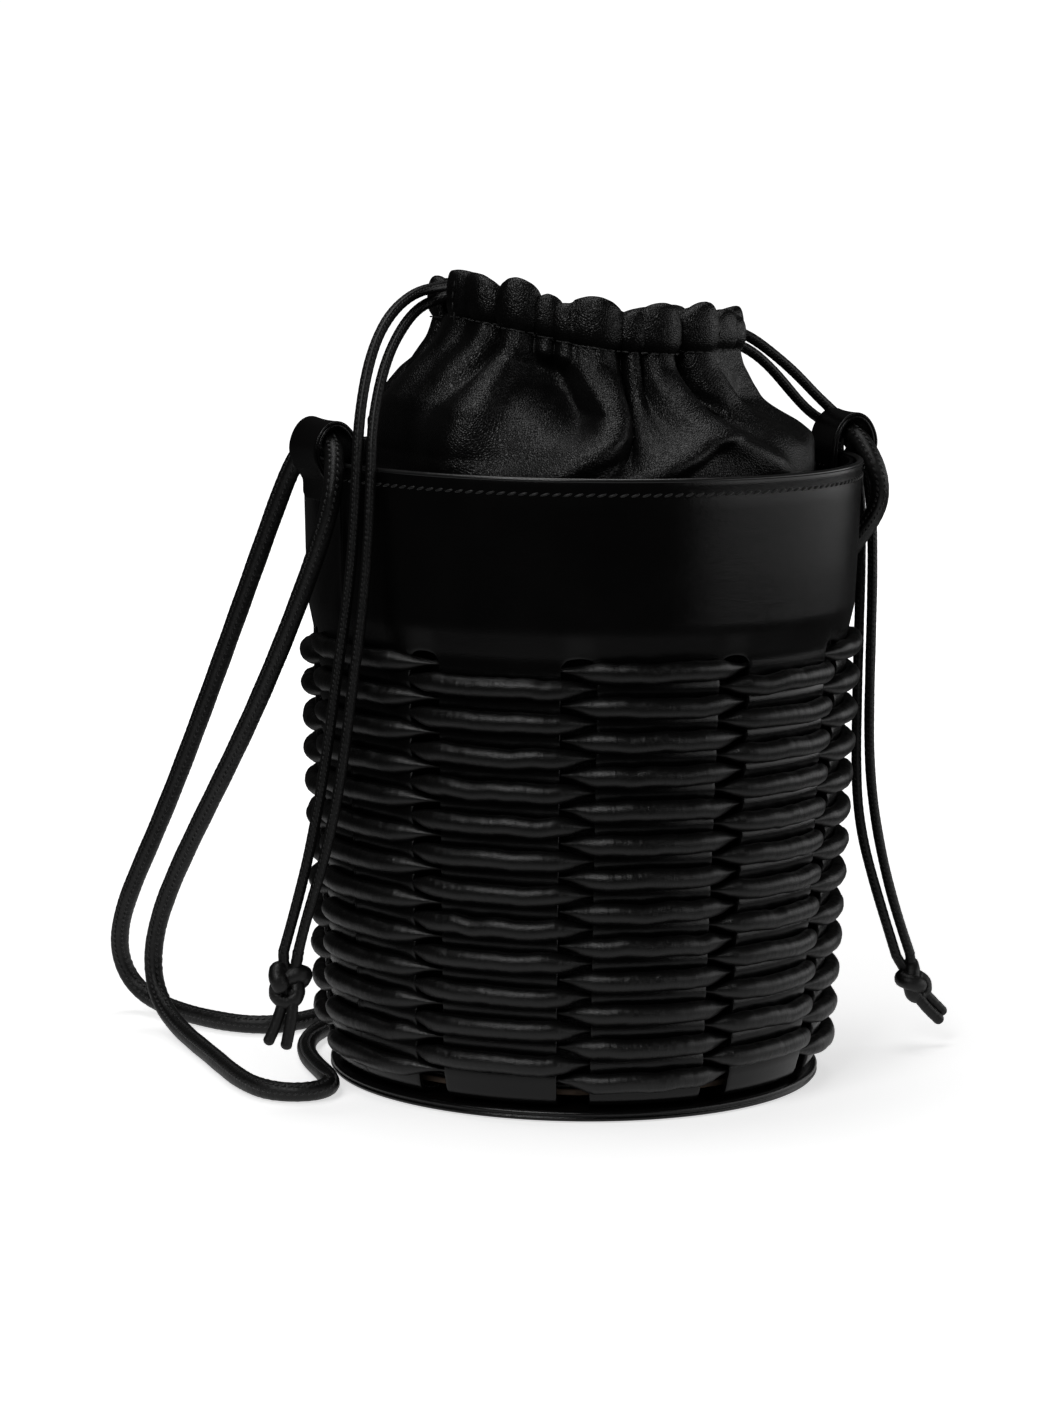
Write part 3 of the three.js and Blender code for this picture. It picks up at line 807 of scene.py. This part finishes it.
def weaver_tree():
    """One cord woven in and out round the wall, fat over the stakes and thin where it dives between them."""
    tree = bpy.data.node_groups.new("woven_cord", "GeometryNodeTree")
    tree.interface.new_socket("Start", in_out="INPUT", socket_type="NodeSocketGeometry")
    names = ("Row", "Height", "Wall radius", "Wall slope", "Swing", "Cord height", "Cord depth", "Seed")
    for name in names:
        tree.interface.new_socket(name, in_out="INPUT", socket_type="NodeSocketFloat")
    tree.interface.new_socket("Material", in_out="INPUT", socket_type="NodeSocketMaterial")
    tree.interface.new_socket("Cord", in_out="OUTPUT", socket_type="NodeSocketGeometry")
    graph = Graph(tree)
    start = graph.node("NodeGroupInput")
    given = {name: graph.other(start, name) for name in (*names, "Material")}
    size = {"Size X": 1.0, "Size Y": 1.0, "Vertices X": 601, "Vertices Y": 19}
    grid = graph.node("GeometryNodeMeshGrid", sockets=size)
    uv = graph.other(grid, "UV Map")
    parts = graph.node("ShaderNodeSeparateXYZ", sockets={"Vector": uv})
    angle = parts * 360
    section = graph.other(parts, "Y") * (2 * math.pi)
    wave = graph.math("COSINE", (stake_count(graph, angle) + given["Row"]) * math.pi)
    swing = graph.math("TANH", wave * 1.7) * (given["Swing"] / math.tanh(1.7))
    outside = eased(graph, (wave + 0.4) / 0.85)
    fatness = graph.math("MAXIMUM", outside, eased(graph, (wave * -1 - 0.3) / 0.6) * 0.6)
    turn = (angle + (180 + SEAM_ANGLE)) * (math.pi / 180)
    compass = {"X": graph.math("COSINE", turn), "Y": graph.math("SINE", turn)}
    outward = graph.node("ShaderNodeCombineXYZ", sockets=compass)
    place = graph.node("ShaderNodeVectorMath", {"operation": "SCALE"}, {0: outward, "Scale": 14.0})
    seed = given["Seed"]
    four = {"noise_dimensions": "4D"}
    slow = graph.node("ShaderNodeTexNoise", four, {"Vector": place, "W": seed, "Scale": 0.55, "Detail": 1.0})
    quick = graph.node("ShaderNodeTexNoise", four, {"Vector": place, "W": seed + 40, "Scale": 3.6, "Detail": 2.0})
    ripple = (quick - 0.5) * 0.16 + 1
    high = given["Cord height"] * (fatness * 0.74 + 0.26) * ripple
    deep = given["Cord depth"] * (fatness * 0.35 + 0.65) * ripple
    across = graph.math("COSINE", section)
    upward = graph.math("SINE", section)
    radius = given["Wall radius"] + swing + across * deep * 0.5 + (slow - 0.5) * 0.0006
    level = given["Height"] + upward * high * 0.5 + (slow - 0.5) * 0.0024 * fatness
    radius = radius + (level - given["Height"]) * given["Wall slope"]
    spread = graph.node("ShaderNodeVectorMath", {"operation": "SCALE"}, {0: outward, "Scale": radius})
    lift = graph.node("ShaderNodeCombineXYZ", sockets={"Z": level})
    position = graph.node("ShaderNodeVectorMath", {"operation": "ADD"}, {0: spread, 1: lift})
    wrap = graph.node("ShaderNodeCombineXYZ", sockets={"X": graph.other(parts, "Y"), "Y": parts * 541})
    stored = {"Geometry": grid, "Name": "UVMap", "Value": wrap}
    cord = graph.node("GeometryNodeStoreNamedAttribute", {"data_type": "FLOAT2", "domain": "CORNER"}, stored)
    cord = graph.node("GeometryNodeSetPosition", sockets={"Geometry": cord, "Position": position})
    cord = graph.node("GeometryNodeMergeByDistance", sockets={"Geometry": cord, "Distance": 0.000002})
    cord = graph.node("GeometryNodeSetShadeSmooth", sockets={"Geometry": cord})
    cord = graph.node("GeometryNodeRealizeInstances", sockets={"Geometry": cord})
    cord = graph.node("GeometryNodeSetMaterial", sockets={"Geometry": cord, "Material": given["Material"]})
    graph.node("NodeGroupOutput", sockets={"Cord": cord})
    return tree


def make_weavers():
    tree = weaver_tree()
    for row in range(WEAVERS):
        height = TOP_WEAVER - WEAVER_PITCH * row
        slope = float(wall_radius(height + 2) - wall_radius(height - 2)) / 4
        inputs = {
            "Row": float(row), "Height": height * MM, "Wall radius": float(wall_radius(height)) * MM,
            "Wall slope": slope, "Swing": WEAVE_SWING * MM, "Cord height": WEAVER_HEIGHT * MM,
            "Cord depth": WEAVER_DEPTH * MM, "Seed": row * 7.31, "Material": WEAVE,
        }
        piece = bake_nodes(f"woven_cord_{row + 1:02d}", bpy.data.meshes.new("start"), tree, inputs)
        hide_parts(f"weaver_{row + 1:02d}")
        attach(piece, "basket")


make_weavers()


# ---- the leather band and its stakes ----
def panel_columns():
    """Angles from one seam to the other, and whether the strip after each angle is a slit."""
    columns = [0.0]
    slit = []

    def strip(width, steps, is_slit):
        for _ in range(steps):
            columns.append(columns[-1] + width / steps)
            slit.append(is_slit)

    strip(SIDE_STAKE / 2, 20, False)
    for _ in range(STAKES_PER_PANEL):
        strip(SLIT, 8, True)
        strip(STAKE, 28, False)
    strip(SLIT, 8, True)
    strip(SIDE_STAKE / 2, 20, False)
    return np.array(columns), np.array(slit)


def panel_heights():
    """Distances down the wall as (radius, height) pairs, from the rim to the end of the folded stake."""
    heights = np.concatenate([
        np.linspace(RIM_HEIGHT - 0.2, 150, 26), np.linspace(148, SLIT_TOP, 7), np.arange(138, 9.4, -1.3),
    ])
    foot = [(76.0, 8.3), (75.6, 7.2), (74.9, 6.2), (73.6, 5.5), (71.6, 5.1), (69, 4.9), (66, 4.9)]
    return [(float(wall_radius(z)), float(z)) for z in heights] + foot


def stake_push(angle, z):
    """The stakes give way a little to the cords that pass over and under them."""
    first = SIDE_STAKE / 2 + SLIT + STAKE / 2
    between = STAKE + SLIT
    rest = np.mod(angle, 180)
    quicker = 1 / between - 1 / first
    count = rest / first + np.maximum(rest - first, 0) * quicker - np.maximum(rest - (180 - first), 0) * quicker
    count = count + 5 * np.floor(angle / 180)
    row = (TOP_WEAVER - z) / WEAVER_PITCH
    wave = -np.cos(math.pi * np.round(count)) * np.cos(math.pi * row)
    share = np.clip((SLIT_TOP + 3 - z) / 8, 0, 1) * np.clip((z - 9) / 5, 0, 1)
    return 0.8 * wave * share


def make_panel(name, node, first_angle):
    columns, slit = panel_columns()
    profile = panel_heights()
    grid = np.zeros((len(profile), len(columns), 3))
    first_slit_row = next(i for i, (_, z) in enumerate(profile) if z <= SLIT_TOP)
    for i, (radius, z) in enumerate(profile):
        for j, angle in enumerate(columns):
            height = z
            if 148.1 > z >= SLIT_TOP and j and j < len(columns) - 1 and (slit[j - 1] or slit[min(j, len(slit) - 1)]):
                start = max(k for k in range(len(slit) + 1) if k <= j and (k == 0 or not slit[k - 1]))
                share = (j - start) / 8 * 2 - 1
                height += 2.4 * math.sqrt(max(0, 1 - share * share)) * (148.5 - z) / 9.3
            from_seam = min(angle, 180 - angle) * math.radians(1) * radius
            push = float(stake_push(angle + (0 if first_angle > 180 else 180), height))
            lip = 0.7 * math.exp(-((from_seam / 1.1) ** 2)) if z > 20 else 0
            puckers = 0
            if abs(height - RIM_STITCH_HEIGHT) < 4:
                swell = math.sin(angle * math.radians(1) * radius * 2 * math.pi / 3.1)
                puckers = -0.22 * math.exp(-(((height - RIM_STITCH_HEIGHT) / 1.1) ** 2)) * (1 + 0.6 * swell)
            grid[i, j] = polar(radius + push + lip + puckers, first_angle + angle, height)
    count = len(columns)
    faces = []
    for i in range(len(profile) - 1):
        for j in range(count - 1):
            if slit[j] and i >= first_slit_row:
                continue
            faces.append((i * count + j, (i + 1) * count + j, (i + 1) * count + j + 1, i * count + j + 1))
    piece = add_piece(name, grid.reshape(-1, 3), faces, BAND)
    remove_loose(piece)
    thickened(piece, LEATHER, 0)
    rounded(piece, 0.35, 2, 50)
    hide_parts(node)
    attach(piece, "basket")
    return piece


def remove_loose(piece):
    bm = bmesh.new()
    bm.from_mesh(piece.data)
    lonely = [v for v in bm.verts if not v.link_faces]
    bmesh.ops.delete(bm, geom=lonely, context="VERTS")
    bmesh.ops.recalc_face_normals(bm, faces=bm.faces)
    bm.to_mesh(piece.data)
    bm.free()


make_panel("front_band_and_stakes", "front_panel", 180 + SEAM_ANGLE)
make_panel("back_band_and_stakes", "back_panel", SEAM_ANGLE)


def ring_line(radius, z, step=1.0, start=0.0, end=360.0):
    angles = np.arange(start, end + step / 2, step)
    points = polar(np.full_like(angles, radius), angles, np.full_like(angles, z))
    facing = polar(np.ones_like(angles), angles, np.zeros_like(angles))
    return points, facing


def make_rim():
    turns = np.radians(np.arange(0, 360, 30))
    edge = [(86.3 + 1.05 * math.cos(a), RIM_HEIGHT - 0.35 + 0.75 * math.sin(a)) for a in turns]
    piece = turned("painted_rim_edge", edge, EDGE, 240)
    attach(piece, "basket")
    line, facing = ring_line(float(wall_radius(RIM_STITCH_HEIGHT)) + 0.85, RIM_STITCH_HEIGHT)
    stitched("rim_stitches", [line], [facing], 3.3, 2.9, 0.85, 17)


make_rim()


def make_base():
    edge = [
        (0, 0.1), (75.8, 0.1), (76.9, 0.4), (77.4, 1.0), (77.2, 1.5), (76.7, 1.75), (77.2, 2.0), (77.4, 2.6),
        (76.9, 3.3), (76.0, 3.6), (0, 3.6),
    ]
    profile = [(max(r, 0.02), z) for r, z in edge]
    base = turned("base_leather_layers", profile, BAND, 180)
    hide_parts("base_disc")
    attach(base, "basket")
    line, facing = ring_line(73.6, 0.15, 1.0)
    down = np.zeros_like(facing)
    down[:, 2] = -1
    stitched("base_stitches", [line], [down], 3.3, 2.6, 0.7, 0)


make_base()
for node, material in (("rim_facing", BAND), ("base_stiffener", BOARD), ("insole", POUCH)):
    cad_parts[node].data.materials.clear()
    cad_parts[node].data.materials.append(material)


# ---- the gathered pouch ----
POUCH_SHAPE = [
    (20, 10.6), (52, 10.6), (62, 11.6), (67, 15), (69, 22), (70, 40), (71, 70), (72.4, 110), (73.4, 140),
    (74.2, 160), (74, 175), (72.6, 186), (70.4, 195), (66.8, 203), (61.6, 210.5), (55.6, 217.5), (49.6, 224.4),
    (45.6, 230.4), (44.0, 236),
]
FRONT = 250
# Folds as knots of (height on the pouch, angle from the front, how far it stands out, half its width).
FOLDS = [
    [
        (231, -29, 2.5, 5), (222, -30.5, 4.6, 6), (212, -33, 5.2, 8),
        (202, -36, 3.8, 10), (192, -39, 2, 12), (178, -42, 0, 14),
    ],
    [(245, -25, 3.6, 4.2), (231, -25, 3.2, 4), (227, -25, 0.8, 4), (223, -25, 0, 4)],
    [(245, -15.5, 3.0, 2.9), (231, -15.5, 2.6, 2.9), (227, -15.5, 0.6, 3), (224, -15, 0, 3)],
    [(245, -8, 2.2, 2.8), (231, -8, 2.2, 2.8), (227, -8, 0.6, 3), (224, -8, 0, 3)],
    [
        (231, -12, -1, 7), (226, -11, -4.5, 9), (220, -8, -6.5, 9.5), (214, -3, -6.5, 8.5),
        (209, -1, -4, 6.5), (205, -1, -1, 6), (202, 0, 0, 6),
    ],
    [
        (245, 4, 4.0, 7.4), (231, 4, 3.8, 7.4), (222, 7, 5, 6), (214, 9.5, 5.6, 5.4),
        (207, 7.5, 5, 6.5), (199, 0, 4, 8), (191, -9, 2.6, 10), (180, -16, 0, 12),
    ],
    [
        (245, 14.4, -2.6, 2.6), (231, 14.4, -3.2, 2.8), (222, 14.6, -4.6, 3.0), (212, 14.4, -5.4, 3.6),
        (203, 13, -4.2, 4.4), (194, 11.5, -2, 5.5), (184, 10, 0, 7),
    ],
    [(245, 18.3, 2.2, 2.4), (231, 18.3, 2.2, 2.5), (222, 18.6, 1.2, 3), (215, 19, 0, 3)],
    [(245, 22, -2.4, 2.4), (231, 22, -2.6, 2.8), (222, 22, -3, 4), (212, 22, -2, 6), (203, 24, 0, 8)],
    [
        (245, 29.5, 3.6, 6.6), (231, 29.5, 3.6, 6.6), (222, 31.5, 4.6, 6), (214, 34.5, 4.8, 6),
        (206, 41, 4.2, 7), (198, 51, 3, 8.5), (186, 60, 0, 10),
    ],
    [(245, 40, -3.2, 3.2), (231, 40, -3.4, 3.4), (222, 43, -4, 4.4), (214, 48, -3, 6), (205, 56, 0, 8)],
    [(216, 41, 0, 6), (207, 34, 3.4, 6.5), (199, 24, 3.6, 7.5), (191, 13, 2.4, 8.5), (180, 4, 0, 10)],
    [
        (245, 51, 3.2, 6.5), (231, 51, 3.2, 6.5), (220, 57, 2.4, 7.5),
        (210, 67, 1.4, 9), (198, 76, 0.4, 12), (186, 80, 0, 12),
    ],
    [(245, 72, 2.6, 6.5), (231, 72, 2, 6.5), (218, 78, -1, 8), (206, 86, -1, 10), (194, 90, 0, 12)],
    [(245, -34, -3, 3), (231, -34, -3.4, 3.2), (223, -38, -3, 5), (214, -44, -1.8, 7), (205, -48, 0, 9)],
    [(245, -43, 2.2, 5), (231, -43, 2.6, 6), (220, -48, 2.8, 8), (208, -55, 1.6, 11), (194, -60, 0, 13)],
    [(245, -60, 1.2, 8), (231, -62, 2, 8), (218, -67, 2.6, 9), (206, -74, 1.8, 12), (192, -80, 0, 13)],
]


def back_folds():
    """Folds round the back, irregular as gathers are."""
    rng = random.Random(12)
    folds = []
    angle = 90.0
    while angle < 268:
        width = rng.uniform(3.2, 7.5)
        drift = rng.uniform(-9, 9)
        depth = rng.uniform(2.4, 4.2)
        low = rng.uniform(184, 200)
        folds.append([
            (245, angle, depth, width), (231, angle, depth, width),
            (220, angle + drift * 0.3, depth * 1.2, width * 1.2),
            (209, angle + drift * 0.7, depth * 0.9, width * 1.6), (low, angle + drift, 0, width * 2.2),
        ])
        gap = width * rng.uniform(1.9, 2.3)
        folds.append([
            (245, angle + gap / 2, -2.6, width * 0.45), (231, angle + gap / 2, -3, width * 0.5),
            (218, angle + gap / 2 + drift * 0.4, -2.8, width * 0.8), (204, angle + gap / 2 + drift, 0, width * 1.3),
        ])
        angle += gap + 1.5
    return folds


ALL_FOLDS = FOLDS + back_folds()


def fold_height(angle, z):
    """How far the gathers stand out, and their slope in millimetres for each degree."""
    angle, z = np.broadcast_arrays(np.asarray(angle, float), np.asarray(z, float))
    height = np.zeros(angle.shape)
    slope = np.zeros(angle.shape)
    for knots in ALL_FOLDS:
        levels, middles, depths, widths = np.array(knots[::-1]).T
        middle = np.interp(z, levels, middles)
        depth = np.interp(z, levels, depths) * (z <= levels[-1] + 12)
        width = np.interp(z, levels, widths)
        away = np.mod(angle - FRONT - middle + 180, 360) - 180
        lopsided = away / width * (1 + 0.22 * np.tanh(away / width))
        bell = depth * np.exp(-(lopsided**2))
        height += bell
        slope += bell * -2 * lopsided / width
    limit = 11.5
    return limit * np.tanh(1.75 * height / limit), slope * 1.75


def smooth_noise(angle, z, seed, size):
    """A slow wave over the leather, the same on every run and closed round the pouch."""
    rng = random.Random(seed)
    total = np.zeros(np.broadcast(angle, z).shape)
    for _ in range(9):
        turns = rng.randint(2, 9)
        rate = rng.uniform(-1, 1) / size
        total += math.cos(rng.uniform(0, 6)) * np.sin(np.radians(angle) * turns + z * rate + rng.uniform(0, 6))
    return total / 4


def pouch_surface(angle, z_low, radius):
    """A point of the pouch's outside, with its folds, for an angle and a place on its plain shape."""
    height, slope = fold_height(angle, z_low)
    height = height * (1.05 - 0.25 * np.clip((z_low - 221) / 9, 0, 1))
    left = np.clip(-np.cos(np.radians(angle)), 0, 1)
    left = left * np.clip((z_low - 178) / 14, 0, 1) * np.clip((212 - z_low) / 14, 0, 1)
    share = np.clip((z_low - 165) / 30, 0.15, 1)
    shape = radius + height * share + 0.9 * smooth_noise(angle, z_low, 5, 26) - 4.5 * left
    neck = np.clip(np.cos(np.radians(angle - 348)), 0, 1) ** 2 * np.exp(-(((z_low - 217) / 9) ** 2))
    shape = shape - 6.5 * neck
    turned_angle = angle - np.clip(slope, -1.6, 1.6) * 0.75 * share
    drop = channel_drop(angle) * np.clip((z_low - 196) / 34, 0, 1)
    points = polar(shape, turned_angle, z_low - drop)
    return lean(points)


def pouch_levels():
    line = np.array(POUCH_SHAPE, float)
    smooth = even_line(limp_line(np.column_stack([line, np.zeros(len(line))]), 12), 1.15)[:, :2]
    low = smooth[smooth[:, 1] < 172][::4]
    return np.vstack([low, smooth[smooth[:, 1] >= 172]])


def make_pouch_body():
    levels = pouch_levels()
    angles = np.arange(0, 360, 0.75)
    rings = np.array([pouch_surface(angles, np.full(len(angles), z), np.full(len(angles), r)) for r, z in levels])
    count = len(angles)
    faces = []
    for i in range(len(levels) - 1):
        for j in range(count):
            beside = (j + 1) % count
            faces.append((i * count + j, i * count + beside, (i + 1) * count + beside, (i + 1) * count + j))
    faces.append(tuple(range(count))[::-1])
    body = add_piece("gathered_pouch", rings.reshape(-1, 3), faces, POUCH)
    thickened(body, 1.1, -1)
    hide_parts("pouch_body")
    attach(body, "pouch")
    return body


def channel_drop(angle):
    """The gathered mouth sinks at the front, and more at the back."""
    front = np.exp(-((np.mod(angle - 262 + 180, 360) - 180) / 42) ** 2)
    back = np.exp(-((np.mod(angle - 85 + 180, 360) - 180) / 60) ** 2)
    return 4.6 * front + 6.5 * back + 1.5


LOBES = [
    (-54, 2.4, 13), (-34, -2.6, 4), (-25, 2.2, 5), (-18.6, -2, 2.2), (-15, 0.6, 2.4), (-8, -1.2, 3),
    (4, 2, 8), (14.4, -3, 3), (18.4, 0.6, 2.4), (22.4, -1, 2), (29.5, 2, 8), (40, -2, 3.6),
    (51, 2, 7), (62, -1.5, 4), (73, -0.5, 6), (88, -3, 5),
]


def lobe_lift(angle):
    """How much higher or lower the channel's upper edge is at each gather of the front."""
    lift = np.zeros(len(angle))
    for middle, height, width in LOBES:
        away = np.mod(angle - FRONT - middle + 180, 360) - 180
        lift += height * np.exp(-(np.abs(away / width) ** 2.6))
    return lift


def channel_line(angle):
    """The channel's middle in plan, with its outward normals: full lobes and tight creases between them."""
    height, slope = fold_height(angle, 240)
    turned_angle = angle - np.clip(slope, -2.4, 2.4) * 0.7
    line = polar(42.2 + height * 0.8, turned_angle, 0)
    tangent = np.gradient(line, axis=0)
    tangent /= np.linalg.norm(tangent, axis=1)[:, None]
    return line, np.column_stack([tangent[:, 1], -tangent[:, 0], np.zeros(len(line))]), height


def channel_section(count=28):
    """Half depth and height round the channel: flat below, full where the cord lies, tight at the stitching."""
    section = []
    for k in range(count):
        turn = 2 * math.pi * k / count
        up = math.sin(turn)
        out = math.cos(turn)
        z = 8.2 * math.copysign(abs(up) ** 0.82, up)
        depth = 3.5 * math.copysign(abs(out) ** 0.75, out)
        if z < -3:
            depth *= 1 - 0.5 * min(1, (-3 - z) / 4.2)
        section.append((depth, z))
    return section


def make_channel(name, node, start, end):
    angles = np.arange(start, end + 0.01, 0.4)
    line, normal, fold = channel_line(angles)
    drop = channel_drop(angles)
    lift = lobe_lift(angles)
    rings = []
    for k, angle in enumerate(angles):
        from_end = min(angle - start, end - angle)
        flat = math.exp(-((from_end / 5) ** 2))
        ring = []
        for depth, z in channel_section():
            raised = (0.3 * fold[k] + lift[k]) * (z + 4) / 12 if z > -4 else 0
            high = CHANNEL_MIDDLE + 1.2 + z * 0.8 + raised - drop[k]
            point = line[k] + normal[k] * (depth * (1 - 0.4 * flat) + 1.6 * flat)
            point[2] = high
            ring.append(point)
        rings.append(ring)
    rings = lean(np.array(rings))[:, ::-1]
    piece = loft(name, rings, POUCH, caps=False)
    thickened(piece, 0.9, -1)
    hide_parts(node)
    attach(piece, "pouch")
    return piece


def make_run(name, node, lift, start, end):
    angles = np.arange(start, end + 0.01, 0.8)
    line, _, _ = channel_line(angles)
    line[:, 2] = CHANNEL_MIDDLE + 1.2 + lift * 0.8 - channel_drop(angles)
    line = even_line(lean(line), 0.7)
    rings = cord_rings(line, DRAWCORD, frames_along(line, (0, 0, 1)), around=14, seam=0.25, wrinkle=0.03, seed=41)
    piece = loft(name, rings, DRAWCORD_LEATHER)
    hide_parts(node)
    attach(piece, "pouch")


def channel_stitches():
    """A row holds each channel down along its lower edge, and one row closes each end."""
    for name, start, end in (("front_channel_stitches", 189, 352), ("back_channel_stitches", 8, 172)):
        angles = np.arange(start, end, 0.4)
        middle, normal, _ = channel_line(angles)
        line = middle + normal * 2.5
        line[:, 2] = CHANNEL_MIDDLE - 3.8 - channel_drop(angles)
        lines = [lean(line)]
        facings = [normal]
        for k in (6, len(angles) - 7):
            heights = np.arange(-6, 6.5, 0.5)
            bulge = 2.3 * np.sqrt(np.clip(1 - (heights / 8.4) ** 2, 0, 1)) + 1.7
            row = middle[k] + normal[k] * bulge[:, None]
            row[:, 2] = CHANNEL_MIDDLE + 1.2 + heights * 0.8 - channel_drop(angles[k])
            lines.append(lean(row))
            facings.append(np.tile(normal[k], (len(heights), 1)))
        stitched(name, lines, facings, 3.0, 2.3, 0.5, 0, "pouch")


POUCH_BODY = make_pouch_body()
make_channel("front_cord_channel", "front_channel", 187.5, 353)
make_channel("back_cord_channel", "back_channel", 7, 174)
make_run("left_drawcord_in_channel", "left_drawcord_run", 2.6, 194.5, 525.5)
make_run("right_drawcord_in_channel", "right_drawcord_run", -2.6, 15.5, 344)
channel_stitches()


# ---- the strap's loops over the rim ----
LOOP_STITCH_HEIGHT = 190.5
LOOP_PATH = [
    (80.9, 183), (80.9, 190), (80.6, 196), (81.6, 201.6), (84.3, 205.4), (87.4, 206.6), (90.4, 205.2),
    (92.6, 201.6), (93.2, 197.4), (91.4, 193), (88.9, 189.6), (88.6, 183),
]


def through_points(points, steps):
    """A smooth line through every point."""
    points = np.asarray(points, float)
    ends = np.vstack([2 * points[0] - points[1], points, 2 * points[-1] - points[-2]])
    line = []
    for k in range(len(points) - 1):
        a, b, c, d = ends[k : k + 4]
        for t in np.arange(steps) / steps:
            line.append(0.5 * (2 * b + (c - a) * t + (2 * a - 5 * b + 4 * c - d) * t**2 + (3 * b - a - 3 * c + d) * t**3))
    return np.array(line + [points[-1]])


def make_loop(name, node, angle):
    """Two layers of band leather, folded over the cord and sewn through the wall below the rim."""
    path = even_line(through_points([(r, 0, z) for r, z in LOOP_PATH], 10), 0.9)[:, [0, 2]]
    tangent = np.gradient(path, axis=0)
    normal = np.column_stack([-tangent[:, 1], tangent[:, 0]])
    normal /= np.linalg.norm(normal, axis=1)[:, None]
    radial = polar(1, angle, 0)
    sideways = polar(1, angle + 90, 0)
    across = np.linspace(-1, 1, 15)
    pieces = []
    for layer in (-0.46, 0.46):
        grid = np.zeros((len(path), len(across), 3))
        for i, (r, z) in enumerate(path):
            from_end = min(i, len(path) - 1 - i) * 0.9
            half = LOOP_WIDTH / 2 - 2.2 * max(0, 1 - from_end / 2.4) ** 2
            dip = 0.35 * math.exp(-(((z - LOOP_STITCH_HEIGHT) / 1.3) ** 2))
            for j, share in enumerate(across):
                sag = layer - dip * (0.8 + 0.2 * math.sin(j * 2.2)) - 0.35 * share**2
                point = radial * (r + normal[i, 0] * -sag) + sideways * half * share
                point[2] = z - normal[i, 1] * sag
                grid[i, j] = point
        count = len(across)
        faces = [
            (i * count + j, i * count + j + 1, (i + 1) * count + j + 1, (i + 1) * count + j)
            for i in range(len(path) - 1) for j in range(count - 1)
        ]
        strip = add_piece(name, grid.reshape(-1, 3), faces, BAND)
        thickened(strip, 0.9, 0)
        rounded(strip, 0.28, 2, 50)
        pieces.append(strip)
    loop = join(name, pieces)
    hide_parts(node)
    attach(loop, "basket")
    steps = np.linspace(-8.6, 8.6, 40)
    rows = []
    facings = []
    for r, side in ((89.75, 1), (79.9, -1)):
        rows.append(radial * r + sideways * steps[:, None] + np.array([0, 0, LOOP_STITCH_HEIGHT]))
        facings.append(np.tile(radial * side, (len(steps), 1)))
    stitched(name + "_stitches", rows, facings, 2.9, 2.2, 0.55, 10)


make_loop("left_leather_loop", "left_strap_loop", LEFT_LOOP_ANGLE)
make_loop("right_leather_loop", "right_strap_loop", RIGHT_LOOP_ANGLE)
